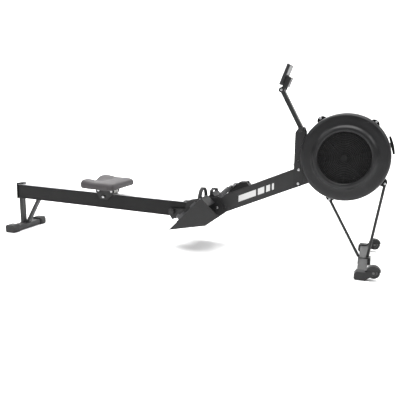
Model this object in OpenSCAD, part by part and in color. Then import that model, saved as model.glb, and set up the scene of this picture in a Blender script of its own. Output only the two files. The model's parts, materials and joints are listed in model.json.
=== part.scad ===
/* [Overall] */
// Length over the rear foot caps and the damper lever
overall_len = 2448; // [2300:4:2700]
// Width over the front foot bar's end caps
overall_w = 576; // [520:4:640]

/* [Rail] */
// Height of the rail's top at its rear end
rail_rear_top = 312; // [290:1:340]
// Fall of the rail towards the front, in degrees
rail_tilt = 1.6; // [1:0.1:2.5]
// Width of the rail over its top lips
rail_w = 58; // [54:1:62]
// Depth of the rail without its steel track
rail_h = 95; // [85:1:105]
// Thickness of the top lips that the lower rollers run under
lip_t = 6; // [5:1:8]
// Overhang of each top lip past the rail's side wall
lip_over = 7; // [6:1:8]
// Wall of the rail extrusion
rail_wall = 3; // [2.5:0.5:4]
// Thickness of the steel track
track_t = 2; // [1:0.5:3]

/* [Rear foot] */
// Length of a rear foot cap along the machine
rear_cap_len = 92; // [80:1:110]
// Height of a rear foot cap
rear_cap_h = 52; // [44:1:60]
// Width over the rear foot's caps
rear_foot_w = 336; // [300:2:380]
// Width of the rear foot bar along the machine
rear_bar_len = 66; // [60:1:74]
// Height of the rear foot bar
rear_bar_h = 40; // [34:1:44]
// Side of the square rear leg
rear_leg_side = 30; // [26:1:34]
// Depth of the slanted brace behind the leg
brace_depth = 20; // [16:1:26]

/* [Seat] */
// Length of the seat pad
seat_len = 238; // [220:1:260]
// Width of the seat pad
seat_w = 318; // [280:2:340]
// Thickness of the seat pad at its sides
seat_t = 42; // [36:1:50]
// Distance from the rail's rear end to the middle of the seat carriage
seat_home = 704; // [300:1:1000]
// Radius of the four rollers that run on the track
top_roller_r = 17; // [15:0.5:18]
// Radius of the two rollers that run under the lips
low_roller_r = 13; // [11:0.5:14]
// Distance between the two roller axles
roller_pitch = 96; // [84:1:104]

/* [Main beam] */
// Width of the main beam
beam_w = 62; // [56:1:68]
// Depth of the main beam
beam_h = 101; // [90:1:110]
// Wall of the main beam
beam_wall = 3; // [2:0.5:4]
// Length of the main beam
beam_len = 567; // [500:1:620]
// Rise of the main beam, in degrees
beam_angle = 23; // [20:0.5:26]

/* [Mast and monitor] */
// Depth of the mast along the machine
mast_depth = 55; // [50:1:60]
// Height of the monitor arm's pivot over the floor
arm_pivot_z = 730; // [715:1:745]
// Length of the monitor arm between its pivots
arm_len = 243; // [200:1:280]
// Lean of the monitor arm towards the rower, in degrees
arm_lean = 28.4; // [20:0.2:35]
// Width of the monitor
monitor_w = 104; // [90:1:130]
// Height of the monitor
monitor_h = 119; // [100:1:140]
// Backward tilt of the monitor's face, in degrees
monitor_tilt = 20.8; // [15:0.2:26]

/* [Flywheel housing] */
// Height of the flywheel axle over the floor
fly_z = 588; // [570:1:620]
// Radius of the flywheel housing
cage_r = 235; // [225:1:240]
// Radius of the air intake
intake_r = 136; // [120:1:142]
// Radius of the fan
fan_r = 196; // [180:1:200]
// Radius of the axle
axle_r = 10; // [8:0.5:12]
// Reach of the damper lever from the axle
lever_reach = 252; // [246:1:258]
// Place of the damper lever over the horizontal, in degrees
lever_angle = 16; // [12:1:20]
// Arc that the damper lever's paddle spans, in degrees
lever_arc = 22; // [14:1:24]
// Pitch radius of the chain sprocket
sprocket_r = 28.5; // [24:0.5:32]

/* [Front foot] */
// Length of the front foot bar along the machine
front_bar_len = 46; // [42:1:60]
// Height of the front foot bar
front_bar_h = 38; // [34:1:44]
// Radius of the front struts
strut_r = 8; // [7:0.5:10]
// Radius of the transport wheels
caster_r = 31; // [28:0.5:34]
// Width of a transport wheel
caster_w = 22; // [18:1:24]

/* [Footrests] */
// Half width over the two footrests
footrest_out = 160; // [150:1:170]
// Half gap between the two footrests
footrest_in = 40; // [38:1:44]
// Slope of the foot plates, in degrees
foot_angle = 45; // [42:0.5:48]
// Length of a foot plate up its slope
foot_len = 290; // [270:1:310]
// Width of a toe strap
strap_w = 24; // [20:1:38]
// Height of the right toe strap's arch over the foot plate's top edge
strap_rise = 54; // [45:1:56]
// Height of the left toe strap's arch, which lies flatter
strap_rise_low = 20; // [18:1:44]

/* [Handle] */
// Length of the handle over its grips
handle_w = 430; // [400:2:500]
// Radius of a grip
grip_r = 14.5; // [13:0.5:16]
// Radius of the handle's core
core_r = 10; // [8:0.5:11]
// Droop of each grip, in degrees
grip_droop = 6; // [4:0.5:8]

/* [Fits] */
// Clearance of a running fit, on the radius
run_clear = 0.05; // [0.02:0.01:0.1]
// Gap between pieces that pass each other
pass_gap = 2; // [1.5:0.1:3]
// Gap between a roller and the face that it runs on
roll_gap = 0.3; // [0.2:0.1:0.5]

/* [Hidden] */
$fn = 64;

// Positions along the machine, worked out from the two ends
rear_x = -overall_len / 2 + rear_cap_len / 2;
fly_x = overall_len / 2 - lever_reach * cos(lever_angle - lever_arc / 2);
beam_under_axle = 147;
beam_behind_axle = 176;
nose_x = fly_x - beam_behind_axle;
nose_z = fly_z - beam_under_axle;
beam_rear_x = nose_x - beam_len * cos(beam_angle);
beam_rear_z = nose_z - beam_len * sin(beam_angle);
rail_rear_x = rear_x - rear_bar_len / 2;
rail_front_x = beam_rear_x - 209;
rail_len = (rail_front_x - rail_rear_x) / cos(rail_tilt);

// Rail section
rail_body_w = rail_w - 2 * lip_over;
rail_flange_w = rail_w - 4;
rail_flange_t = 6;
track_w = rail_w - 4;
end_plate_t = 8;
stop_h = 9;
lip_len = 28;
stop_len = 12;
stop_back = 14;
front_stop_h = 5;

// Seat carriage
axle_rod_r = 5;
top_axle_z = track_t + roll_gap + top_roller_r;
low_axle_z = -lip_t - roll_gap - low_roller_r;
low_roller_w = 5;
side_plate_t = 3;
side_plate_y = rail_w / 2 + pass_gap;
carriage_len = roller_pitch + 40;
carriage_top = top_axle_z + top_roller_r + 4;
carriage_drop = 37;
seat_base_t = 5;
pad_z = carriage_top + seat_base_t;

// Beam, coupler and mast
plate_t = 5;
coupler_y = beam_w / 2;
mast_t = 3.5;
mast_x = nose_x - 64;
mast_top = arm_pivot_z + 13;
chain_z_at_mast = nose_z + 97;
chain_rise = 22.6;
chain_w = 6;
chain_h = 7;
guide_r = 9;
knob_x = rail_front_x - 93;
knob_z = rail_under(knob_x) + 30;
knob_r = 17;
knob_stem_r = 5;

// Handle at rest in its hook, and the way that it is pulled
handle_x = beam_rear_x + 63;
handle_z = beam_rear_z + 165;
clevis_len = 34;

// Footrest frame
heel_x = beam_rear_x - 277;
heel_z = beam_rear_z - 92;
shell_t = 4;
foot_tube_r = 13;
foot_tube_u = 192;
foot_tube_w = -84;
toe_gap = 0.6;
toe_t = 4;
toe_side = 10;

// Flywheel housing: heights are measured from its middle plane
band_half = 22;
ring_out = 172;
crest_h = 78;
face_h = 62;
cover_t = 3;
hub_r = 20;
damper_h = 80;
damper_t = 3;
paddle_w = 62;
plate_right_y = [-12, -8];
plate_left_y = [24, 28];
fan_y = [-52, -14];
lug_angles = [124, 52, -32, -106];
lug_reach = [22, 15, 26, 20];
lug_r = [26, 30, 22, 25];
lug_bolt = 10;
way_from = 154;
way_to = 222;

// Front foot
front_x = fly_x + 130;
caster_x = front_x + 56;
caster_z = 44;
cap_len = 46;
caster_y = overall_w / 2 - 6 - caster_w / 2;
cap_h = 44;
fork_t = 4;

// Arm and monitor
arm_x = mast_x + 3;
arm_w = 22;
arm_half = beam_w / 2 - 6;
arm_top_x = arm_x - arm_len * sin(arm_lean);
arm_top_z = arm_pivot_z + arm_len * cos(arm_lean);
pivot_bolt_r = 5;
case_t = 17;
case_x = -21;
case_z = 22;
screen_t = 1.5;
panel_t = 3;

function rail_top(x) = rail_rear_top - (x - rail_rear_x) * tan(rail_tilt);
function rail_under(x) = rail_top(x) - rail_h / cos(rail_tilt);
function beam_under(x) = beam_rear_z + (x - beam_rear_x) * tan(beam_angle);
function beam_over(x) = beam_under(x) + beam_h / cos(beam_angle);
function rim_point(angle, r) = [fly_x + r * cos(angle), fly_z + r * sin(angle)];

// Slab of an X-Z outline between two Y planes
module slab(outline, y0, y1) {
    translate([0, y1, 0]) rotate([90, 0, 0]) linear_extrude(y1 - y0) polygon(outline);
}

// Round bar along Y between two Y planes
module bar_y(x, z, r, y0, y1) {
    translate([x, y1, z]) rotate([90, 0, 0]) cylinder(r = r, h = y1 - y0);
}

// Round bar between two points of the middle plane
module bar_xz(p, q, r) {
    d = q - p;
    translate([p[0], 0, p[1]]) rotate([0, atan2(d[0], d[1]), 0]) cylinder(r = r, h = norm(d));
}

module both_sides() {
    children();
    mirror([0, 1, 0]) children();
}

// Rounded block: a plan outline with round corners, pulled up in Z
module rounded_block(size, r, h) {
    linear_extrude(h) union() {
        square([size[0] - 2 * r, size[1]], center = true);
        square([size[0], size[1] - 2 * r], center = true);
        for (x = [-1, 1], y = [-1, 1])
            translate([x * (size[0] / 2 - r), y * (size[1] / 2 - r)]) circle(r = r);
    }
}

module on_rail() {
    translate([rail_rear_x, 0, rail_rear_top]) rotate([0, rail_tilt, 0]) children();
}

module on_seat() {
    on_rail() translate([seat_home, 0, 0]) children();
}

module on_beam() {
    translate([beam_rear_x, 0, beam_rear_z]) rotate([0, -beam_angle, 0]) children();
}

// Foot plate frame: X runs up the plate, Z stands out of it
module on_foot() {
    translate([heel_x, 0, heel_z]) rotate([0, -foot_angle, 0]) children();
}

// Housing frame: Z points to the machine's right side, Y points up
module on_fly() {
    translate([fly_x, 0, fly_z]) rotate([90, 0, 0]) children();
}

module on_monitor() {
    translate([arm_top_x, 0, arm_top_z]) rotate([0, monitor_tilt, 0]) children();
}

// ---- Rail and rear foot ----

// Extruded rail: a box with lips at the top and flanges at the bottom
module rail() {
    color("#2c2c2e") on_rail() rotate([90, 0, 90]) linear_extrude(rail_len) difference() {
        union() {
            translate([-rail_w / 2, -lip_t]) square([rail_w, lip_t]);
            translate([-rail_body_w / 2, -rail_h]) square([rail_body_w, rail_h]);
            translate([-rail_flange_w / 2, -rail_h]) square([rail_flange_w, rail_flange_t]);
        }
        translate([-rail_body_w / 2 + rail_wall, -rail_h + rail_wall])
            square([rail_body_w - 2 * rail_wall, rail_h - rail_wall - lip_t]);
    }
}

// Steel strip that the seat rolls on
module seat_track() {
    color("#c3c4c6") on_rail() translate([0, -track_w / 2, 0]) cube([rail_len, track_w, track_t]);
}

// Rear end cap with a raised lip, and the front end cap with its rubber stop
module rail_ends() {
    color("#1b1b1c") on_rail() {
        translate([-end_plate_t, -rail_w / 2 - 1, -rail_h - 6])
            cube([end_plate_t, rail_w + 2, rail_h + 6 + track_t + stop_h]);
        translate([-1, -rail_w / 2 - 1, track_t]) cube([lip_len + 1, rail_w + 2, stop_h]);
        translate([rail_len - stop_back - stop_len, -rail_w / 2 + 3, track_t])
            cube([stop_back + stop_len + 4, rail_w - 6, front_stop_h]);
        translate([rail_len, -rail_body_w / 2, -rail_h + 1]) cube([4, rail_body_w, rail_h + track_t]);
    }
}

leg_x = rail_rear_x + rear_leg_side / 2 - 3;
leg_wall = 2.5;

module rear_leg() {
    color("#303032") difference() {
        translate([leg_x - rear_leg_side / 2, -rear_leg_side / 2, rear_bar_h])
            cube([rear_leg_side, rear_leg_side, rail_rear_top - rear_bar_h - rail_h / 2]);
        translate([leg_x - rear_leg_side / 2 + leg_wall, -rear_leg_side / 2 + leg_wall, 0])
            cube([rear_leg_side - 2 * leg_wall, rear_leg_side - 2 * leg_wall, rail_rear_top]);
        on_rail() translate([-rail_h, -rail_w, -rail_h]) cube([3 * rail_h, 2 * rail_w, 2 * rail_h]);
        on_rail() translate([-rail_h, -rail_w, -rail_h - 8]) cube([rail_h + 0.3, 2 * rail_w, rail_h]);
    }
}

// Slanted tube from the foot bar to the rail's underside
brace_foot = [rear_x + 17, rear_bar_h];
brace_head = [rear_x + 121, rail_under(rear_x + 121)];

module rear_brace() {
    reach = brace_head - brace_foot;
    lean = atan2(reach[0], reach[1]);
    color("#303032") difference() {
        translate([brace_foot[0], 0, brace_foot[1]]) rotate([0, lean, 0])
            translate([-brace_depth / 2, -rear_leg_side / 2, -rear_bar_h])
                cube([brace_depth, rear_leg_side, norm(reach) + 2 * rear_bar_h]);
        translate([brace_foot[0], 0, brace_foot[1]]) rotate([0, lean, 0])
            translate([-brace_depth / 2 + leg_wall, -rear_leg_side / 2 + leg_wall, -2 * rear_bar_h])
                cube([
                    brace_depth - 2 * leg_wall,
                    rear_leg_side - 2 * leg_wall,
                    norm(reach) + 4 * rear_bar_h,
                ]);
        on_rail() translate([-rail_h, -rail_w, -rail_h]) cube([4 * rail_h, 2 * rail_w, 3 * rail_h]);
        translate([rear_x - rail_h, -rail_w, -rail_h]) cube([3 * rail_h, 2 * rail_w, rail_h + rear_bar_h]);
        translate([leg_x - rear_leg_side, -rail_w, 0])
            cube([1.5 * rear_leg_side, 2 * rail_w, rail_rear_top]);
    }
}

rear_cap_w = 60;

// Flattened tube across the rear; its caps lift it a little off the floor
bar_lift = 4;

module rear_foot_bar() {
    half = rear_foot_w / 2 - rear_cap_w;
    color("#303032") translate([rear_x, 0, bar_lift]) difference() {
        translate([-rear_bar_len / 2, -half, 0]) cube([rear_bar_len, 2 * half, rear_bar_h - bar_lift]);
        translate([-rear_bar_len / 2 + leg_wall, -half - 1, leg_wall])
            cube([rear_bar_len - 2 * leg_wall, 2 * half + 2, rear_bar_h - bar_lift - 2 * leg_wall]);
    }
}

// Plastic caps that the rear foot stands on
module rear_foot_caps() {
    color("#3a3a3c") both_sides() difference() {
        translate([rear_x, -rear_foot_w / 2 + rear_cap_w / 2, 0]) intersection() {
            rounded_block([rear_cap_len, rear_cap_w], 18, rear_cap_h);
            translate([0, rear_cap_w / 2, 0]) rotate([90, 0, 0]) linear_extrude(rear_cap_w) polygon([
                [-rear_cap_len / 2 + 14, 0], [rear_cap_len / 2 - 14, 0],
                [rear_cap_len / 2, 14], [rear_cap_len / 2, rear_cap_h - 20],
                [rear_cap_len / 2 - 18, rear_cap_h], [-rear_cap_len / 2 + 18, rear_cap_h],
                [-rear_cap_len / 2, rear_cap_h - 20], [-rear_cap_len / 2, 14],
            ]);
        }
    }
}

// ---- Seat ----

valley_r = 120;
valley_depth = 27;
valley_len = 150;

// Contoured foam pad: two raised lobes at the rear with a valley between them
module seat_pad() {
    rim = pad_z + seat_t;
    half = seat_len / 2;
    crest = rim + 13;
    color("#5d5759") on_seat() translate([3, 0, 0]) difference() {
        intersection() {
            slab([
                [-half, pad_z], [half - 8, pad_z], [half, pad_z + 10], [half, rim - 12],
                [half - 6, rim - 2], [half - 16, rim + 3], [half * 0.4, rim + 3],
                [-half * 0.15, rim + 2], [-half * 0.6, rim + 10],
                [-half * 0.85, crest], [-half + 3, rim + 4], [-half, rim - 8],
            ], -seat_w / 2, seat_w / 2);
            translate([0, 0, pad_z - 1]) rounded_block([seat_len, seat_w], 34, 2 * seat_t);
        }
        translate([-half, 0, crest - valley_depth + valley_r])
            rotate([0, 90 - atan2(valley_depth, valley_len), 0])
                translate([0, 0, -40]) cylinder(r = valley_r, h = valley_len + 60, $fn = 128);
    }
}

// Moulded base under the pad
module seat_base() {
    color("#1f1f20") on_seat() translate([3, 0, carriage_top])
        rounded_block([seat_len - 46, seat_w - 60], 26, seat_base_t);
}

leg_foot = 27;
low_axle_x = -10;

// Folded steel carriage: one tapering leg down each side of the rail
module carriage() {
    half = carriage_len / 2;
    outer = side_plate_y + side_plate_t;
    color("#262628") on_seat() difference() {
        union() {
            translate([-half, -outer, carriage_top - side_plate_t])
                cube([carriage_len, 2 * outer, side_plate_t]);
            both_sides() slab([
                [-half, carriage_top], [half, carriage_top], [half, top_axle_z - 8],
                [leg_foot + low_axle_x, -carriage_drop], [-leg_foot + low_axle_x, -carriage_drop],
                [-half, top_axle_z - 8],
            ], side_plate_y, outer);
        }
        for (x = [-1, 1] * roller_pitch / 2)
            bar_y(x, top_axle_z, axle_rod_r + run_clear, -2 * outer, 2 * outer);
        bar_y(low_axle_x, low_axle_z, axle_rod_r + run_clear, -2 * outer, 2 * outer);
    }
}

low_roller_y = rail_body_w / 2 + 0.8;

// Two axle rods above the track and a roller bolt on each leg
module carriage_axles() {
    outer = side_plate_y + side_plate_t;
    color("#b9babc") on_seat() {
        for (x = [-1, 1] * roller_pitch / 2) {
            bar_y(x, top_axle_z, axle_rod_r, -outer - 1, outer + 1);
            both_sides() bar_y(x, top_axle_z, axle_rod_r + 2.5, outer, outer + 3);
        }
        both_sides() {
            bar_y(low_axle_x, low_axle_z, axle_rod_r, low_roller_y, outer + 1);
            bar_y(low_axle_x, low_axle_z, axle_rod_r + 4, outer, outer + 5);
        }
    }
}

top_roller_w = 20;

module roller(x, z, r, y0, y1) {
    difference() {
        bar_y(x, z, r, y0, y1);
        bar_y(x, z, axle_rod_r + run_clear, y0 - 1, y1 + 1);
    }
}

module top_roller_pair(x) {
    color("#d9d9d6") on_seat() both_sides()
        roller(x, top_axle_z, top_roller_r, track_w / 2 - top_roller_w - 2, track_w / 2 - 2);
}

module top_rollers_rear() { top_roller_pair(-roller_pitch / 2); }
module top_rollers_front() { top_roller_pair(roller_pitch / 2); }

// One roller under each lip, on the leg's bolt
module low_rollers() {
    color("#d9d9d6") on_seat() both_sides()
        roller(low_axle_x, low_axle_z, low_roller_r, low_roller_y, low_roller_y + low_roller_w);
}

// ---- Main beam, coupler and footrests ----

module main_beam() {
    color("#2c2c2e") on_beam() difference() {
        translate([0, -beam_w / 2, 0]) cube([beam_len, beam_w, beam_h]);
        translate([-1, -beam_w / 2 + beam_wall, beam_wall])
            cube([beam_len + 2, beam_w - 2 * beam_wall, beam_h - 2 * beam_wall]);
    }
}

// Side plates and saddle floor that the rail's front end drops into
module coupler() {
    rx = rail_front_x;
    saddle = rail_under(rx) - pass_gap / 2;
    over = 40;
    tail_top = knob_z + knob_r + 4;
    outline = [
        [rx - 122, knob_z - 14], [rx - 98, rail_under(rx - 98) - 20], [rx - 65, saddle - 6],
        [rx + 20, saddle - 4], [beam_rear_x - 30, beam_under(beam_rear_x - 30) - 3],
        [beam_rear_x, beam_rear_z], [beam_rear_x + over, beam_under(beam_rear_x + over)],
        [beam_rear_x, beam_over(beam_rear_x)], [rx + 103, rail_top(rx) + 28],
        [rx - 1, rail_top(rx) + 8], [rx - 10, tail_top + 2],
        [rx - 110, tail_top], [rx - 122, tail_top - 10],
    ];
    color("#29292b") difference() {
        union() {
            both_sides() slab(outline, coupler_y, coupler_y + plate_t);
            on_rail() translate([rail_len - 90, -coupler_y - 1, -rail_h - pass_gap / 2 - plate_t])
                cube([98, 2 * coupler_y + 2, plate_t]);
            translate([rx + 10, -coupler_y - 1, rail_top(rx) - 4]) rotate([0, -10, 0])
                cube([96, 2 * coupler_y + 2, 4]);
        }
        bar_y(knob_x, knob_z, knob_stem_r + run_clear, -beam_w, beam_w);
        foot_tube_bore(2 * beam_w);
    }
}

// Clamp screw with a round knob on the coupler's right side
module clamp_knob() {
    face = -coupler_y - plate_t - 1;
    color("#1b1b1c") union() {
        bar_y(knob_x, knob_z, knob_stem_r, face - 4, -rail_w / 2 + 0.5);
        difference() {
            bar_y(knob_x, knob_z, knob_r, face - 20, face);
            for (a = [0:60:359])
                bar_y(
                    knob_x + (knob_r + 3) * cos(a),
                    knob_z + (knob_r + 3) * sin(a),
                    5, face - 30, face - 5
                );
        }
    }
}

module foot_tube_bore(half) {
    on_foot() bar_y(foot_tube_u, foot_tube_w, foot_tube_r + run_clear, -half, half);
}

// Cross tube that carries both footrests
module foot_tube() {
    half = footrest_out - 12;
    color("#303032") on_foot() difference() {
        bar_y(foot_tube_u, foot_tube_w, foot_tube_r, -half, half);
        bar_y(foot_tube_u, foot_tube_w, foot_tube_r - 2.5, -half - 1, half + 1);
    }
}

toe_cut = 62;
toe_wall = 60;

// Moulded wedge: a sloping foot plate with side walls, open underneath and low at the toe end
module footrest() {
    depth = 145;
    outer = [
        [0, 0], [foot_len, 0], [foot_len + 5, -depth + 16], [foot_len + 13, -depth],
        [foot_len - 12, -depth + 2], [foot_len * 0.68, -depth + 12],
    ];
    hollow = [
        [16, -shell_t - 1], [foot_len - shell_t, -shell_t - 1], [foot_len, -depth + 16],
        [foot_len + 5, -depth - 20], [foot_len * 0.6, -depth - 20],
    ];
    mid = (footrest_in + footrest_out) / 2;
    on_foot() difference() {
        union() {
            difference() {
                slab(outer, footrest_in, footrest_out);
                slab(hollow, footrest_in + shell_t, footrest_out - shell_t);
            }
            intersection() {
                slab(outer, footrest_in, footrest_out);
                slab(outer, mid - shell_t / 2, mid + shell_t / 2);
            }
            bar_y(foot_tube_u, foot_tube_w, foot_tube_r + 6, footrest_in + 1, footrest_out - 1);
        }
        translate([foot_len - toe_cut, 0, -2 * depth])
            cube([2 * toe_cut, footrest_out - shell_t, 2 * depth - toe_wall]);
        bar_y(foot_tube_u, foot_tube_w, foot_tube_r + run_clear, 0, footrest_out - 10);
    }
}

module footrest_left() { color("#343436") footrest(); }
module footrest_right() { color("#343436") mirror([0, 1, 0]) footrest(); }

toe_low = 70;
strap_x = heel_x + foot_len * cos(foot_angle) - 8;
strap_foot = heel_z + foot_len * sin(foot_angle);
strap_t = 3;
strap_corner = 38;
strap_corner_low = 6;
strap_y = [footrest_in + 9, footrest_out - 9];

// Sliding toe plate with a heel cup and two ears for the strap
module toe_plate() {
    inner = strap_y[0] + strap_t + toe_gap;
    outer = strap_y[1] - strap_t - toe_gap;
    mid = (inner + outer) / 2;
    on_foot() difference() {
        union() {
            translate([toe_low, inner, toe_gap]) cube([foot_len - toe_low, outer - inner, toe_t]);
            translate([toe_low + 40, mid, toe_gap]) cylinder(r = 40, h = 30);
            for (y = [inner, outer - toe_t])
                translate([foot_len - 92, y, toe_gap]) cube([44, toe_t, toe_side + toe_t]);
        }
        translate([toe_low + 46, mid, toe_gap + toe_t]) cylinder(r = 40, h = 40);
        translate([toe_low + 40, inner - 1, toe_gap + toe_t]) cube([60, outer - inner + 2, 40]);
        for (u = [0:3]) translate([toe_low + 62 + 26 * u, mid, 0]) cylinder(r = 4, h = 4 * toe_t);
    }
}

module toe_plate_left() { color("#4a4a4c") toe_plate(); }
module toe_plate_right() { color("#4a4a4c") mirror([0, 1, 0]) toe_plate(); }

// Outline of the strap's arch; inset gives the inside of the webbing
function arch(rise, shoulder, inset) = let (
    y0 = strap_y[0] + inset,
    y1 = strap_y[1] - inset,
    top = strap_foot + rise - inset,
    slant = shoulder + inset * (1 - sqrt(2))
) [
    [y0, heel_z - inset], [y1, heel_z - inset], [y1, top - slant],
    [y1 - slant, top], [y0 + slant, top], [y0, top - slant],
];

// Webbing arch over the toes, cut to the slope of the foot plate
module toe_strap(rise, shoulder) {
    difference() {
        translate([strap_x - strap_w / 2, 0, 0]) rotate([90, 0, 90]) linear_extrude(strap_w) difference() {
            polygon(arch(rise, shoulder, 0));
            polygon(arch(rise, shoulder, strap_t));
        }
        on_foot() translate([-foot_len, 0, -2 * foot_len])
            cube([4 * foot_len, 2 * footrest_out, 2 * foot_len]);
    }
}

module toe_strap_left() { color("#1d1d1e") toe_strap(strap_rise_low, strap_corner_low); }
module toe_strap_right() { color("#1d1d1e") mirror([0, 1, 0]) toe_strap(strap_rise, strap_corner); }

// ---- Handle and chain ----

hook_u = 122;
hook_half = 36;

// Handle rest on the beam: two cradle arms on a block
module handle_hook() {
    deck = beam_h;
    bed = handle_bed();
    arm = [
        [hook_u - 22, deck], [hook_u + 60, deck], [hook_u + 60, deck + 30], [hook_u + 40, deck + 33],
        [hook_u + 20, deck + 20], [hook_u + 11, bed + 2], [hook_u + 8, bed],
        [hook_u - 8, bed], [hook_u - 14, bed + 4], [hook_u - 22, bed + 4],
    ];
    block = [
        [hook_u + 58, deck], [hook_u + 112, deck], [hook_u + 107, deck + 24], [hook_u + 66, deck + 39],
        [hook_u + 58, deck + 36],
    ];
    color("#242426") on_beam() difference() {
        union() {
            both_sides() slab(arm, hook_half - 12, hook_half - 4);
            slab(block, -hook_half + 4, hook_half - 4);
        }
        slab([
            [hook_u, deck + 14], [hook_u + 140, deck + 10],
            [hook_u + 140, deck + 70], [hook_u, deck + 70],
        ], -chain_w, chain_w);
    }
}

// Height of the cradle under the handle's core, in the beam's frame
function handle_bed() = (handle_z - beam_rear_z) * cos(beam_angle)
    - (handle_x - beam_rear_x) * sin(beam_angle) - core_r - 0.5;

grip_start = 60;
rod_r = core_r - 1;

module handle_bar(r, y0, y1) {
    translate([0, grip_start, 0]) rotate([-90 - grip_droop, 0, 0]) translate([0, 0, y0 - grip_start])
        cylinder(r = r, h = y1 - y0);
}

// Steel core, straight in the middle with drooping ends
module handle_core() {
    color("#2a2a2c") translate([handle_x, 0, handle_z]) union() {
        rotate([90, 0, 0]) cylinder(r = core_r, h = 2 * grip_start + 1, center = true);
        both_sides() handle_bar(rod_r, grip_start - 1, handle_w / 2 - 4);
    }
}

module handle_grips() {
    color("#343436") translate([handle_x, 0, handle_z]) both_sides() difference() {
        handle_bar(grip_r, grip_start + 6, handle_w / 2);
        handle_bar(rod_r, 0, handle_w / 2 - 4);
    }
}

// Fork and swivel that join the chain to the handle
module chain_clevis() {
    color("#8d8e90") translate([handle_x, 0, handle_z]) rotate([0, -chain_rise, 0]) union() {
        difference() {
            rotate([90, 0, 0]) cylinder(r = core_r + 4, h = 22, center = true);
            rotate([90, 0, 0]) cylinder(r = core_r, h = 30, center = true);
        }
        translate([core_r + 1, -6, -6]) cube([clevis_len - core_r - 1, 12, 12]);
    }
}

chain_end_x = mast_x - mast_depth / 2 + mast_t;

// Chain between the clevis and the mast, a plain bar of the chain's size
module chain_span() {
    start = [handle_x + clevis_len * cos(chain_rise), handle_z + clevis_len * sin(chain_rise)];
    run = (chain_end_x - start[0]) / cos(chain_rise);
    color("#9a9b9d") translate([start[0], 0, start[1]]) rotate([0, -chain_rise, 0])
        translate([0, -chain_w / 2, -chain_h / 2]) cube([run, chain_w, chain_h]);
}

function chain_z(x) = handle_z + (x - handle_x) * tan(chain_rise);

guide_x = mast_x - mast_depth / 2 + 22;
guide_z = chain_z(guide_x) + chain_h / 2 + guide_r + 1;
guide_pin_r = 3;

// Idler that holds the chain down behind the mast's slot
module guide_roller() {
    color("#d0d0cc") difference() {
        bar_y(guide_x, guide_z, guide_r, -6, 6);
        bar_y(guide_x, guide_z, guide_pin_r + run_clear, -7, 7);
    }
}

// Chain inside the housing: over the sprocket and back down into the beam
module drive_chain() {
    start = [chain_end_x + 0.5, chain_z(chain_end_x)];
    top = rim_point(106, sprocket_r + 1);
    low = rim_point(-64, sprocket_r + 1);
    tail = [nose_x - 70, nose_z + 12];
    color("#9a9b9d") difference() {
        union() {
            slab(strip(start, top, chain_h), -chain_w / 2, chain_w / 2);
            slab(strip(low, tail, chain_h), -chain_w / 2, chain_w / 2);
            on_fly() difference() {
                cylinder(r = sprocket_r + 6, h = chain_w, center = true);
                cylinder(r = sprocket_r + 0.6, h = 2 * chain_w, center = true);
                rotate([0, 0, 15]) translate([-4 * sprocket_r, -2 * sprocket_r, -chain_w])
                    cube([4 * sprocket_r, 4 * sprocket_r, 2 * chain_w]);
            }
        }
        on_fly() cylinder(r = sprocket_r + 0.6, h = 2 * chain_w, center = true);
    }
}

// Outline of a straight strip of a given width between two points
function strip(p, q, w) = let (d = (q - p) / norm(q - p), n = [-d[1], d[0]] * w / 2)
    [p - n, q - n, q + n, p + n];

module sprocket() {
    color("#77787a") on_fly() difference() {
        union() {
            cylinder(r = sprocket_r, h = chain_w - 1, center = true);
            cylinder(r = axle_r + 7, h = 14, center = true);
        }
        cylinder(r = axle_r + run_clear, h = 30, center = true);
        for (a = [0:45:359]) rotate([0, 0, a]) translate([sprocket_r - 7, 0, 0])
            cylinder(r = 2.5, h = 30, center = true);
    }
}

// ---- Mast and frame hardware ----

module mast() {
    back = mast_x - mast_depth / 2;
    front = mast_x + mast_depth / 2;
    y0 = beam_w / 2;
    flange = [
        [back, beam_under(back)], [front, beam_under(front)], [front, mast_top - 26],
        [front - 10, mast_top], [back + 18, mast_top], [back, mast_top - 30],
    ];
    color("#303032") difference() {
        union() {
            both_sides() slab(flange, y0, y0 + mast_t);
            translate([back, -y0, beam_over(back + mast_t) + 1])
                cube([mast_t, 2 * y0, mast_top - 34 - beam_over(back + mast_t)]);
        }
        translate([back - 1, -chain_w / 2 - 4, chain_z(back) - chain_h])
            cube([mast_t + 2, chain_w + 8, 2 * chain_h]);
        bar_y(arm_x, arm_pivot_z, pivot_bolt_r + run_clear, -2 * y0, 2 * y0);
        bar_y(guide_x, guide_z, guide_pin_r, -2 * y0, 2 * y0);
    }
}

// Bolts through the mast and beam, guide roller pins, and the strut bolts
module frame_bolts() {
    y1 = beam_w / 2 + mast_t;
    out = coupler_y + plate_t;
    color("#8d8e90") union() {
        both_sides() {
            for (z = [18, 96]) bar_y(mast_x, beam_under(mast_x) + z, 6, y1, y1 + 4);
            bar_y(beam_rear_x - 14, beam_rear_z + 41, 6, out, out + 3);
        }
        bar_y(guide_x, guide_z, guide_pin_r, -y1, y1);
    }
}

// ---- Flywheel ----

// Two plates from inside the beam's end to the axle
module axle_plates() {
    outline = [
        [nose_x - 56, nose_z - 11], [nose_x - 4, nose_z + 6], [fly_x + 10, fly_z - 34],
        [fly_x + 34, fly_z - 8], [fly_x + 34, fly_z + 14], [fly_x + 12, fly_z + 34],
        [nose_x - 36, nose_z + 85], [nose_x - 76, nose_z + 64],
    ];
    color("#303032") difference() {
        union() for (y = [plate_right_y, plate_left_y]) {
            slab(outline, y[0], y[1]);
        }
        bar_y(fly_x, fly_z, axle_r + run_clear, -90, 90);
    }
}

module axle() {
    color("#b9babc") bar_y(fly_x, fly_z, axle_r, fan_y[0] - 3, plate_left_y[1] + 12);
}

blades = 24;

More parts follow.
